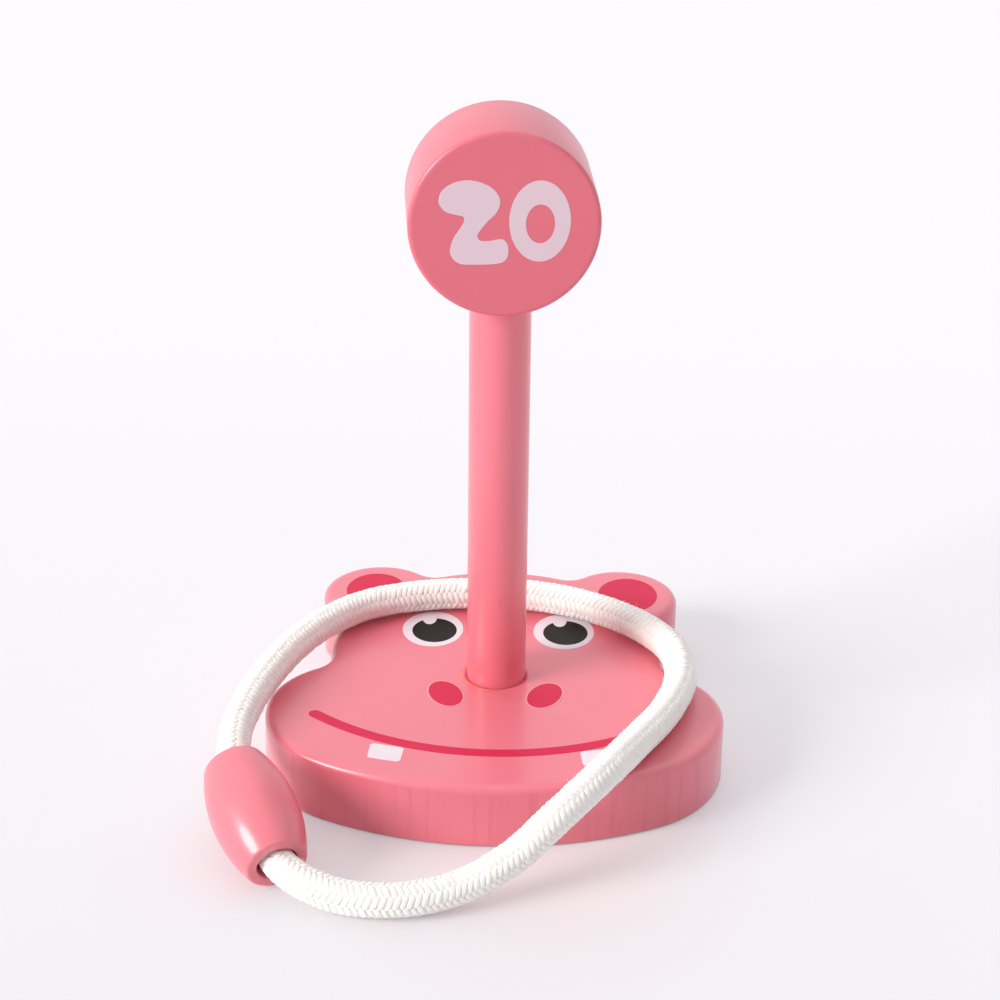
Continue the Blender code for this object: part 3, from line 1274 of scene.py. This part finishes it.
@dataclass
class ScoreDisc:
    """The disc on edge on the post's head, with its printed score in millimetres from its middle."""

    axis: PostAxis
    node: str = "score_disc"
    body: str = "post"
    turn: float = math.radians(4.7)
    thickness: float = 24.0 * MM
    edge_round: float = 1.0 * MM
    edge_cuts: int = 5
    sides: int = 160
    rim_wear: float = 0.15
    grain: float = 0.10
    socket_gap: float = 0.3 * MM
    socket_depth: float = 12.0 * MM
    socket_sides: int = 96
    film: InkFilm = InkFilm()
    nought: Pair = (7.6, 1.05)
    nought_semi: Pair = (6.65, 9.2)
    nought_hole: Pair = (7.7, 0.45)
    nought_hole_semi: Pair = (3.15, 4.4)
    two_rise: float = 0.3
    two_height: float = 0.98
    two: tuple[Pair, ...] = (
        (-14.3, 5.6), (-13.7, 7.8), (-11.6, 9.5), (-8.8, 10.3), (-5.9, 10.0), (-3.1, 8.7),
        (-1.4, 6.7), (-1.1, 4.7), (-2.0, 2.6), (-3.8, 0.7), (-5.4, -1.4), (-5.9, -2.7),
        (-5.2, -3.6), (-3.4, -3.7), (-0.9, -3.3), (0.3, -3.9), (0.8, -5.4), (0.7, -7.3),
        (-0.2, -8.6), (-2.3, -9.1), (-5.5, -9.2), (-9.1, -9.1), (-10.8, -8.2), (-11.8, -6.5),
        (-11.6, -4.6), (-10.9, -2.7), (-9.5, -0.5), (-8.8, 1.0), (-9.0, 2.0), (-10.5, 2.4),
        (-12.7, 3.1), (-13.9, 4.4),
    )

    @property
    def radius(self) -> float:
        """Half the height of its box."""
        low, high = node_box(self.node)
        return (high.z - low.z) / 2.0

    def middle(self) -> Matrix:
        """The disc's frame: Z along its own axis, out of its front, and Y up."""
        stand = Matrix.Rotation(self.turn, 4, "Z") @ Matrix.Rotation(math.pi / 2.0, 4, "X")
        return self.axis.matrix(node_box(self.node)[0].z + self.radius) @ stand

    def wear(self, spot: Vector) -> float:
        """Thin paint on the two rounded rims.

        Args:
            spot: A point of the disc.

        Returns:
            How thin the paint is there.
        """
        near_face = abs(spot.z) > self.thickness / 2.0 - self.edge_round + MERGE
        near_rim = math.hypot(spot.x, spot.y) > self.radius - self.edge_round + MERGE
        return self.rim_wear if near_face and near_rim else 0.0

    def build(self) -> Piece:
        """Models the disc with rounded rims and the bore for the post.

        Returns:
            The finished disc.
        """
        half = self.thickness / 2.0
        disc = cylinder("score_roundel", self.sides, self.radius, self.thickness)
        round_edges(disc, at_height(half, -half), self.edge_round, self.edge_cuts)
        inset_caps(disc)
        mark(disc, RIM_WEAR, self.wear)
        mark(disc, GRAIN_SHOW, lambda spot: self.grain)
        bore = self.axis.radius + self.socket_gap
        lying = (math.pi / 2.0, 0.0, 0.0)
        lowest = (0.0, -self.radius, 0.0)
        depth = 2.0 * self.socket_depth
        cut_out(disc, cylinder("bore_space", self.socket_sides, bore, depth, lowest, lying))
        finish_shape(disc, self.middle())
        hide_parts(self.node)
        return disc

    def print_score(self, inks: dict[Ink, Material]) -> None:
        """Prints the two digits on the front face.

        Args:
            inks: The inks' materials.
        """
        face = self.middle() @ Matrix.Translation((0.0, 0.0, self.thickness / 2.0))
        two = smooth_loop([(x, self.two_height * y + self.two_rise) for x, y in self.two])
        nought = ellipse(self.nought, self.nought_semi)
        hole = ellipse(self.nought_hole, self.nought_hole_semi)
        for name, outline, opening in (("score_two", two, None), ("score_nought", nought, hole)):
            digit = self.film.build(name, outline, face, opening)
            dress(digit, inks[Ink.SCORE], self.body)


@dataclass
class JoiningBead:
    """The barrel bead on the rope's ends."""

    node: str = "joining_bead"
    body: str = "ring"
    length: float = 30.0 * MM
    radius: float = 9.8 * MM
    end_radius: float = 6.9 * MM
    bore: float = 4.6 * MM
    edge_round: float = 0.5 * MM
    edge_cuts: int = 4
    heading: float = math.radians(-64.5)
    tilt: float = math.radians(16.0)
    sides: int = 96
    swell_cuts: int = 27
    bore_cuts: int = 6
    ring_slack: float = 0.2 * MM
    mouth_wear: float = 0.35
    grain: float = 0.15

    @property
    def half(self) -> float:
        """Half its length."""
        return self.length / 2.0

    def axis(self) -> Vector:
        """The way its front mouth faces."""
        flat = math.cos(self.tilt)
        return Vector((flat * math.cos(self.heading), flat * math.sin(self.heading), -math.sin(self.tilt)))

    def centre(self) -> Vector:
        """Its middle, which is its box's middle."""
        low, high = node_box(self.node)
        return (low + high) / 2.0

    def place(self) -> Matrix:
        """Its frame, with Z along its axis."""
        return Matrix.Translation(self.centre()) @ self.axis().to_track_quat("Z", "Y").to_matrix().to_4x4()

    def barrel_radius(self, height: float) -> float:
        """The barrel's radius at a distance from its middle.

        Args:
            height: The distance along its axis.

        Returns:
            The radius.
        """
        swell = self.radius - self.end_radius
        curve = (self.half ** 2 + swell ** 2) / (2.0 * swell)
        return math.sqrt(curve ** 2 - height ** 2) - (curve - self.radius)

    def round_bore(self, start: Vector, end: Vector) -> bool:
        """Whether an edge lies round the bore, at a mouth."""
        reach = max(math.hypot(start.x, start.y), math.hypot(end.x, end.y))
        return at_height(self.half, -self.half)(start, end) and reach < self.bore + MERGE

    def round_mouth(self, start: Vector, end: Vector) -> bool:
        """Whether an edge runs round one of the end faces."""
        change = abs(math.hypot(start.x, start.y) - math.hypot(end.x, end.y))
        return at_height(self.half, -self.half)(start, end) and change < self.ring_slack

    def wear(self, spot: Vector) -> float:
        """Thin paint round both mouths."""
        return self.mouth_wear if abs(spot.z) > self.half - self.edge_round + MERGE else 0.0

    def build(self) -> Piece:
        """Models the barrel: a cylinder that swells, with its mouths inset and bridged by the bore.

        Returns:
            The finished bead.
        """
        bead = cylinder("barrel_bead", self.sides, self.end_radius, self.length)
        pick_edges(bead, lambda start, end: abs(start.z - end.z) > self.half)
        with editing(bead):
            bpy.ops.mesh.subdivide(number_cuts=self.swell_cuts)
        for vertex in bead.data.vertices:
            flat = Vector((vertex.co.x, vertex.co.y)).normalized() * self.barrel_radius(vertex.co.z)
            vertex.co = (flat.x, flat.y, vertex.co.z)
        pick_faces(bead, lambda middle, normal: abs(normal.z) > LEVEL_NORMAL)
        with editing(bead):
            bpy.ops.mesh.inset(thickness=self.end_radius - self.bore, use_individual=True)
            bpy.ops.mesh.delete(type="FACE")
        pick_edges(bead, self.round_bore)
        with editing(bead):
            bpy.ops.mesh.bridge_edge_loops(number_cuts=self.bore_cuts)
        face_out(bead)
        round_edges(bead, self.round_mouth, self.edge_round, self.edge_cuts)
        mark(bead, RIM_WEAR, self.wear)
        mark(bead, GRAIN_SHOW, lambda spot: self.grain)
        finish_shape(bead, self.place())
        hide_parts(self.node)
        return bead


def unit(vectors: Points) -> Points:
    """Vectors of length 1 in the same directions."""
    return vectors / np.linalg.norm(vectors, axis=-1, keepdims=True)


def smooth_curve(knots: Points, steps: int) -> Points:
    """A smooth curve through points in space.

    Args:
        knots: The points in order.
        steps: Steps between two points.

    Returns:
        Points along the curve, from the first to the last.
    """
    legs = np.diff(knots, axis=0)
    lengths = np.linalg.norm(legs, axis=1)
    ways = unit(legs)
    chords = (knots[2:] - knots[:-2]) / (lengths[:-1] + lengths[1:])[:, None]
    tangents = np.vstack([ways[:1], ways[:-1] - chords + ways[1:], ways[-1:]])
    share = np.linspace(0.0, 1.0, steps, endpoint=False)[:, None]
    left = 2.0 * share ** 3 - 3.0 * share ** 2 + 1.0
    leaving = share ** 3 - 2.0 * share ** 2 + share
    arriving = share ** 3 - share ** 2
    curve = []
    for i, length in enumerate(lengths):
        swing = leaving * tangents[i] + arriving * tangents[i + 1]
        curve.append(left * knots[i] + (1.0 - left) * knots[i + 1] + length * swing)
    return np.vstack([*curve, knots[-1:]])


def tube(line: Points, out: Points, width: float | Points, thickness: float, sides: int) -> Points:
    """Rings of an oval tube.

    Args:
        line: The tube's centreline.
        out: The direction of its thickness at each point.
        width: Its width, everywhere or at each point.
        thickness: Its thickness.
        sides: Points in each ring. The first and last lie on the inner side.

    Returns:
        The points, ring by ring.
    """
    ahead = unit(np.gradient(line, axis=0))
    up = unit(out - ahead * np.sum(out * ahead, axis=1)[:, None])
    across = np.cross(ahead, up)
    angles = -math.pi / 2.0 + math.tau * (np.arange(sides) + 0.5) / sides
    flat = across[:, None] * (np.cos(angles) * np.reshape(width, (-1, 1)) / 2.0)[:, :, None]
    raised = up[:, None] * (np.sin(angles) * thickness / 2.0)[None, :, None]
    return line[:, None] + flat + raised


@dataclass
class Yarn:
    """Closed tubes that are gathered into one mesh."""

    places: list[Points] = field(default_factory=list)
    marks: list[Points] = field(default_factory=list)
    faces: list[tuple[int, ...]] = field(default_factory=list)
    count: int = 0

    def add(self, rings: Points, marks: Points) -> None:
        """Adds a tube, with a cap at each end.

        Args:
            rings: Its points, ring by ring.
            marks: Way along, way round and height of each point on its strand.
        """
        number, sides = rings.shape[:2]
        turned = [*range(1, sides), 0]
        for ring in range(number - 1):
            here = self.count + ring * sides
            there = here + sides
            self.faces += [(here + k, here + n, there + n, there + k) for k, n in enumerate(turned)]
        last = self.count + (number - 1) * sides
        self.faces.append(tuple(self.count + k for k in reversed(range(sides))))
        self.faces.append(tuple(last + k for k in range(sides)))
        self.places.append(rings.reshape(-1, 3))
        self.marks.append(marks.reshape(-1, 3))
        self.count += number * sides

    def piece(self, name: str) -> Piece:
        """Makes the mesh.

        Args:
            name: The piece's name.

        Returns:
            The piece, with every face outwards.
        """
        mesh = bpy.data.meshes.new(name)
        mesh.from_pydata(np.vstack(self.places).tolist(), [], self.faces)
        layer = mesh.attributes.new(STRAND_PLACE, "FLOAT_VECTOR", "POINT")
        layer.data.foreach_set("vector", np.vstack(self.marks).astype(np.float32).ravel())
        mesh.shade_smooth()
        piece = bpy.data.objects.new(name, mesh)
        bpy.context.scene.collection.objects.link(piece)
        with editing(piece):
            pick_all()
            bpy.ops.mesh.normals_make_consistent(inside=False)
        return piece


@dataclass
class BraidedRope:
    """The ring's rope: sixteen flat strands, eight each way, each over two and under two."""

    axis: PostAxis
    bead: JoiningBead
    node: str = "rope"
    body: str = "ring"
    diameter: float = 7.9 * MM
    floor_gap: float = 0.1 * MM
    rest_gap: float = 0.3 * MM
    end_gap: float = 1.0 * MM
    mouth_ease: float = 4.0 * MM
    curve_steps: int = 40
    strands_each_way: int = 8
    lay_angle: float = math.radians(65.0)
    strand_width: float = 1.78 * MM
    strand_thickness: float = 0.80 * MM
    strand_sides: int = 8
    wave: float = 0.22 * MM
    wave_flatness: float = 1.4
    steps_per_wave: int = 8
    crossing_phase: float = 0.5
    uneven: float = 0.07 * MM
    sink: float = 0.6
    uneven_width: float = 0.09
    sway_shares: Triple = (0.5, 0.3, 0.2)
    sway_lengths_mm: Pair = (3.0, 14.0)
    height_mark: Triple = (0.5, 0.30, 0.2)
    core_share: float = 0.70
    core_sides: int = 12
    core_every: int = 4
    seed: int = 7
    # Metres in plan from the post's axis, then the height: 0 lies on the floor, 1 on the board
    route: tuple[Triple, ...] = (
        (-0.0440, -0.0705, 0.16), (-0.0393, -0.0739, 0.09), (-0.0325, -0.0766, 0.02),
        (-0.0245, -0.0778, 0.0), (-0.0160, -0.0770, 0.0), (-0.0065, -0.0741, 0.06),
        (0.0045, -0.0693, 0.32), (0.0155, -0.0620, 0.78), (0.0238, -0.0525, 0.985),
        (0.0323, -0.0375, 1.0), (0.0399, -0.0225, 1.0), (0.0438, -0.0070, 1.0),
        (0.0423, 0.0060, 1.0), (0.0355, 0.0170, 1.0), (0.0245, 0.0260, 1.0),
        (0.0100, 0.0320, 1.0), (-0.0050, 0.0330, 1.0), (-0.0200, 0.0310, 1.0),
        (-0.0330, 0.0255, 1.0), (-0.0426, 0.0155, 1.0), (-0.0490, 0.0038, 1.0),
        (-0.0534, -0.0090, 1.0), (-0.0568, -0.0220, 0.97), (-0.0586, -0.0330, 0.86),
        (-0.0583, -0.0400, 0.76),
    )
    line: Points = field(init=False)
    outward: Points = field(init=False)
    aside: Points = field(init=False)
    step: float = field(init=False)

    @property
    def radius(self) -> float:
        """Half the rope's diameter."""
        return self.diameter / 2.0

    @property
    def pitch(self) -> float:
        """Length of rope in which a strand goes once round."""
        return math.tau * self.radius / math.tan(self.lay_angle)

    @property
    def length(self) -> float:
        """The rope's length, once it is laid out."""
        return self.step * (len(self.line) - 1)

    def knots(self) -> Points:
        """The route's points: straight through the bead, round the post and back.

        Returns:
            The points, in the row frame.
        """
        low = self.radius + self.floor_gap
        high = node_box("base_plate")[1].z + self.radius + self.rest_gap
        middle = self.bead.centre()
        end = self.bead.axis() * self.end_gap / 2.0
        straight = self.bead.axis() * (self.bead.half - self.mouth_ease)
        foot = self.axis
        route = [(foot.x + x, foot.y + y, low + rise * (high - low)) for x, y, rise in self.route]
        spots = [middle + end, middle + straight, *route, middle - straight, middle - end]
        return np.array([tuple(spot) for spot in spots])

    def lay_out(self) -> None:
        """Reads even points and a frame that doesn't twist from the smooth curve through the route."""
        dense = smooth_curve(self.knots(), self.curve_steps)
        travelled = np.concatenate([[0.0], np.cumsum(np.linalg.norm(np.diff(dense, axis=0), axis=1))])
        wave_length = 2.0 * self.pitch / self.strands_each_way
        count = round(travelled[-1] / wave_length * self.steps_per_wave)
        spots = np.linspace(0.0, travelled[-1], count + 1)
        self.step = spots[1]
        self.line = np.stack([np.interp(spots, travelled, dense[:, k]) for k in range(3)], 1)
        ahead = unit(np.gradient(self.line, axis=0))
        outward = [unit(np.cross(ahead[0], np.cross((0.0, 0.0, 1.0), ahead[0])))]
        for direction in ahead[1:]:
            outward.append(unit(outward[-1] - direction * (outward[-1] @ direction)))
        self.outward = np.array(outward)
        self.aside = np.cross(ahead, self.outward)

    def strand_line(self, number: int, way: Side, travel: Points) -> tuple[Points, Points, Points]:
        """One strand's centreline.

        Args:
            number: The strand's number among those that go its way.
            way: Which way it goes round.
            travel: The way along the rope at each point.

        Returns:
            Its points, the outward direction at each, and how high it rides, from -1 to 1.
        """
        sign = way.value
        turn = math.tau * (number / self.strands_each_way + sign * travel / self.pitch)
        crossing = travel / self.pitch * 2.0 * self.strands_each_way
        ride = sign * np.cos(math.pi / 2.0 * (2.0 * number + sign * crossing - self.crossing_phase))
        ride = np.tanh(self.wave_flatness * ride) / math.tanh(self.wave_flatness)
        out = np.cos(turn)[:, None] * self.outward + np.sin(turn)[:, None] * self.aside
        middle = self.radius - self.strand_thickness / 2.0 - self.wave
        return self.line + out * (middle + self.wave * ride)[:, None], out, ride

    def sway(self, travel: Points, chance: random.Random) -> Points:
        """A slow, uneven sway along a strand, from about -1 to 1.

        Args:
            travel: The way along the rope at each point.
            chance: The source of the waves' lengths and places.

        Returns:
            The sway at each point.
        """
        sway = np.zeros_like(travel)
        for share in self.sway_shares:
            length = chance.uniform(*self.sway_lengths_mm) * MM
            sway += share * np.sin(math.tau * (travel / length + chance.random()))
        return sway

    def core(self) -> Points:
        """Models the plain core under the plait.

        Returns:
            Its points, ring by ring.
        """
        picked = np.unique(np.append(np.arange(0, len(self.line), self.core_every), len(self.line) - 1))
        thick = self.diameter * self.core_share
        return tube(self.line[picked], self.outward[picked], thick, thick, self.core_sides)

    def build(self) -> list[Piece]:
        """Plaits the strands over a plain core: one piece for each way round.

        Returns:
            The two halves of the plait. The first holds the core.
        """
        self.lay_out()
        travel = np.arange(len(self.line)) * self.step
        around = (np.arange(self.strand_sides) + 0.5) / self.strand_sides
        lift = np.sin(-math.pi / 2.0 + math.tau * around)[None]
        middle, by_ride, by_side = self.height_mark
        chance = random.Random(self.seed)
        halves = []
        for way in (Side.RIGHT, Side.LEFT):
            yarn = Yarn()
            for number in range(self.strands_each_way):
                line, out, ride = self.strand_line(number, way, travel)
                line = line + out * (self.uneven * (self.sway(travel, chance) - self.sink))[:, None]
                width = self.strand_width * (1.0 + self.uneven_width * self.sway(travel, chance))
                rings = tube(line, out, width, self.strand_thickness, self.strand_sides)
                marks = np.empty_like(rings)
                marks[:, :, 0] = travel[:, None] + chance.uniform(0.0, 1.0)
                marks[:, :, 1] = around[None]
                # The height mark sets the painted crease shade: lower points are darker.
                marks[:, :, 2] = middle + by_ride * ride[:, None] + by_side * lift
                yarn.add(rings, marks)
            if way is Side.RIGHT:
                core = self.core()
                # The core is marked lowest, so it takes the full painted crease shade.
                yarn.add(core, np.zeros_like(core))
            halves.append(yarn.piece(f"plait_{way.word}"))
        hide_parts(self.node)
        return halves

    def declare(self) -> None:
        """Logs the rope's length, once it is laid out.
        """
        mouth = self.bead.centre() - self.bead.axis() * self.bead.half
        LOG.info("rope is %.1f mm long", self.length / MM)


@dataclass
class LooseFibres:
    """Loose cotton fibres that stand off the rope between the bead's mouths."""

    rope: BraidedRope
    count: int = 5200
    rings: int = 4
    sides: int = 3
    mouth_gap: float = 1.0 * MM
    reach_mm: Pair = (0.4, 1.3)
    long_share: float = 0.015
    longer: float = 2.4
    rise: Pair = (0.05, 0.42)
    curl: Pair = (1.2, 2.6)
    thickness_mm: Pair = (0.022, 0.042)
    root_depth: float = 0.25 * MM
    floor_gap: float = 0.05 * MM
    strand_mark: Triple = (0.0, 0.0, 1.0)

    def fibre(self, chance: random.Random) -> Points:
        """One fibre.

        Args:
            chance: The source of its place and shape.

        Returns:
            Its points, ring by ring.
        """
        rope = self.rope
        clear = rope.bead.half + self.mouth_gap
        spot = chance.uniform(clear, rope.length - clear)
        i = min(len(rope.line) - 2, int(spot / rope.step))
        turn = chance.uniform(0.0, math.tau)
        out = math.cos(turn) * rope.outward[i] + math.sin(turn) * rope.aside[i]
        ahead = unit(rope.line[i + 1] - rope.line[i])
        lean = chance.uniform(0.0, math.tau)
        run = math.cos(lean) * ahead + math.sin(lean) * np.cross(ahead, out)
        reach = chance.uniform(*self.reach_mm) * MM
        reach *= self.longer if chance.random() < self.long_share else 1.0
        rise = chance.uniform(*self.rise) * reach
        root = rope.line[i] + out * (rope.radius - self.root_depth)
        share = np.linspace(0.0, 1.0, self.rings)[:, None]
        hair = root + run * share * reach + out * (rise * np.sin(share * chance.uniform(*self.curl)))
        hair[:, 2] = np.maximum(hair[:, 2], self.floor_gap)
        thick = chance.uniform(*self.thickness_mm) * MM
        return tube(hair, np.repeat(out[None], self.rings, 0), thick, thick, self.sides)

    def build(self) -> Piece:
        """Models the fibres.

        Returns:
            The fibres, as one piece.
        """
        chance = random.Random(self.rope.seed + 1)
        yarn = Yarn()
        for _ in range(self.count):
            rings = self.fibre(chance)
            yarn.add(rings, np.broadcast_to(self.strand_mark, rings.shape))
        return yarn.piece("rope_fuzz")


# The studio


@dataclass(frozen=True)
class Lamp:
    """A lamp so far away that its light is even, and how wide it looks from the toy, in degrees."""

    name: str
    towards: Triple
    strength: float
    spread: float
    colour: Colour = linear(255, 253, 250)

    def hang(self) -> None:
        """Hangs the lamp."""
        data = bpy.data.lights.new(self.name, "SUN")
        data.energy = self.strength
        data.angle = math.radians(self.spread)
        data.color = self.colour[:3]
        lamp = bpy.data.objects.new(self.name, data)
        bpy.context.scene.collection.objects.link(lamp)
        lamp.matrix_world = Vector(self.towards).to_track_quat("Z", "Y").to_matrix().to_4x4()


@dataclass(frozen=True)
class BrightPatch:
    """A bright patch of the surroundings. It starts and is full at two cosines to its middle."""

    towards: Triple
    start: float
    strength: float
    full: float = 0.95

    def draw(self, sheet: NodeSheet, way: Socket) -> Socket:
        """What the patch adds in the direction that is looked in."""
        near = sheet.vector_maths("DOT_PRODUCT", way, Vector(self.towards).normalized())
        return sheet.mask(near.outputs["Value"], self.start, self.full, self.strength)


@dataclass
class Studio:
    """A plain pale floor, soft light and the camera at the photograph's angle."""

    axis: PostAxis
    camera_from_post: Triple = (0.01045, -0.52225, 0.31448)
    camera_down: float = math.radians(25.77)
    camera_heading: float = math.radians(1.10)
    camera_roll: float = math.radians(0.70)
    lens: float = 90.0
    sensor: float = 36.0
    clip_start: float = 0.01
    floor_size: float = 12.0
    floor_drop: float = 0.05 * MM
    floor_colour: Colour = linear(246, 244, 248)
    floor_roughness: float = 0.6
    floor_shine: float = 0.15
    glow_colour: Colour = linear(251, 250, 254)
    glow_share: float = 0.45
    glow_front: float = 0.74
    glow_back: float = 0.90
    glow_change: Pair = (-0.20, 0.35)
    # A painted pink bounce of light on the floor in front of the board.
    bounce_glow_colour: Colour = linear(255, 236, 238)
    bounce_glow_from_post: Triple = (0.010, -0.062, 0.0)
    bounce_glow_reach: Pair = (0.015, 0.064)
    world_colour: Colour = linear(250, 250, 254)
    ambient: float = 0.295
    left_patch: BrightPatch = BrightPatch((-0.75, 0.45, 0.45), 0.35, 0.22)
    back_patch: BrightPatch = BrightPatch((0.25, 0.85, 0.45), 0.1, 0.80)
    backdrop: float = 1.0
    key_lamp: Lamp = Lamp("key_lamp", (-0.80, -0.42, 0.43), 2.88, 28.0)
    top_lamp: Lamp = Lamp("top_lamp", (0.0, 0.0, 1.0), 0.48, 90.0)

    def from_post(self, offset: Triple) -> Vector:
        """A place on the floor or above it, given from the post's foot."""
        return Vector((self.axis.x, self.axis.y, 0.0)) + Vector(offset)

    def camera(self) -> None:
        """Places the camera."""
        data = bpy.data.cameras.new("camera")
        data.lens = self.lens
        data.sensor_width = self.sensor
        data.clip_start = self.clip_start
        camera = bpy.data.objects.new("camera", data)
        bpy.context.scene.collection.objects.link(camera)
        look = Matrix.Rotation(self.camera_heading, 4, "Z")
        look = look @ Matrix.Rotation(math.pi / 2.0 - self.camera_down, 4, "X")
        look = look @ Matrix.Rotation(self.camera_roll, 4, "Z")
        camera.matrix_world = Matrix.Translation(self.from_post(self.camera_from_post)) @ look
        bpy.context.scene.camera = camera

    @staticmethod
    def showing(sheet: NodeSheet) -> Socket:
        """Picks the rays that show the studio itself: from the camera, in gloss and through glass.

        Args:
            sheet: The sheet of the floor or the world.

        Returns:
            1 for those rays and 0 for the light.
        """
        rays = sheet.add("ShaderNodeLightPath").outputs
        seen = sheet.maths("MAXIMUM", rays["Is Camera Ray"], rays["Is Glossy Ray"])
        return sheet.maths("MAXIMUM", seen, rays["Is Transmission Ray"])

    def floor(self) -> None:
        """Lays the floor, which shows pale, keeps the shadows, and carries a painted pink bounce of light
        in front of the toy.
        """
        deselect_scene()
        bpy.ops.mesh.primitive_plane_add(size=self.floor_size, location=(0.0, 0.0, -self.floor_drop))
        floor = new_piece("floor")
        surface = Surface("floor_pale")
        sheet = surface.sheet
        plain = {"Base Color": self.floor_colour, "Roughness": self.floor_roughness}
        shader = sheet.feed_all(surface.shader, {**plain, "Specular IOR Level": self.floor_shine})
        here = sheet.add("ShaderNodeTexCoord").outputs["Object"]
        # Painted reflected light: the floor's glow turns pink near the board's front.
        away = sheet.vector_maths("DISTANCE", here, self.from_post(self.bounce_glow_from_post))
        bounce_glow = sheet.mask(away.outputs["Value"], *self.bounce_glow_reach)
        _, along, _ = sheet.split(here)
        depth = sheet.mask(along, *self.glow_change, self.glow_back - self.glow_front)
        glow = sheet.feed_all(sheet.add("ShaderNodeEmission"), {
            "Color": sheet.mix(bounce_glow, self.bounce_glow_colour, self.glow_colour),
            "Strength": sheet.plus(depth, self.glow_front),
        })
        blend = sheet.feed_all(sheet.add("ShaderNodeMixShader"), {
            0: sheet.times(self.showing(sheet), self.glow_share),
            1: shader.outputs["BSDF"],
            2: glow.outputs["Emission"],
        })
        sheet.feed(sheet.tree.nodes["Material Output"].inputs["Surface"], blend.outputs["Shader"])
        floor.data.materials.append(surface.material)

    def light(self) -> None:
        """Sets the surroundings, bright to the back and left, and the lamps."""
        scene = bpy.context.scene
        scene.view_settings.view_transform = "Standard"
        scene.world = bpy.data.worlds.new("studio")
        scene.world.use_nodes = True
        sheet = NodeSheet(scene.world.node_tree)
        looked = sheet.add("ShaderNodeTexCoord").outputs["Generated"]
        patches = sheet.plus(self.left_patch.draw(sheet, looked), self.back_patch.draw(sheet, looked))
        level = sheet.plus(patches, self.ambient)
        seen = self.showing(sheet)
        lit = sheet.times(level, sheet.maths("SUBTRACT", 1.0, seen))
        strength = sheet.plus(lit, sheet.times(seen, self.backdrop))
        sheet.feed_all(sheet.tree.nodes["Background"], {"Color": self.world_colour, "Strength": strength})
        self.key_lamp.hang()
        self.top_lamp.hang()

    def build(self) -> None:
        """Builds the whole studio."""
        self.camera()
        self.floor()
        self.light()


def main() -> None:
    """Builds every sub-assembly in order."""
    logging.basicConfig(level=logging.INFO, format="%(name)s: %(message)s")
    axis = PostAxis.from_frame()
    effects = Effects()
    Studio(axis).build()

    bead = JoiningBead()
    rope = BraidedRope(axis, bead)
    cotton = ROPE_COTTON.material(effects)
    plait, second_plait = rope.build()
    fuzz = LooseFibres(rope).build()
    for yarn in (plait, second_plait, fuzz):
        dress(yarn, cotton, rope.body)
    bead_piece = bead.build()
    dress(bead_piece, BEAD_PAINT.material(effects), bead.body)
    rope.declare()

    board = HippoBoard(axis)
    dress(board.build(), BOARD_PAINT.material(effects), board.body)
    inks = {ink: ink.value.material(effects) for ink in Ink}
    FacePrints(axis, inks).build()
    post = Post(axis)
    dress(post.build(), POST_PAINT.material(effects), post.body)
    disc = ScoreDisc(axis)
    dress(disc.build(), DISC_PAINT.material(effects), disc.body)
    disc.print_score(inks)


if __name__ == "__main__":
    main()
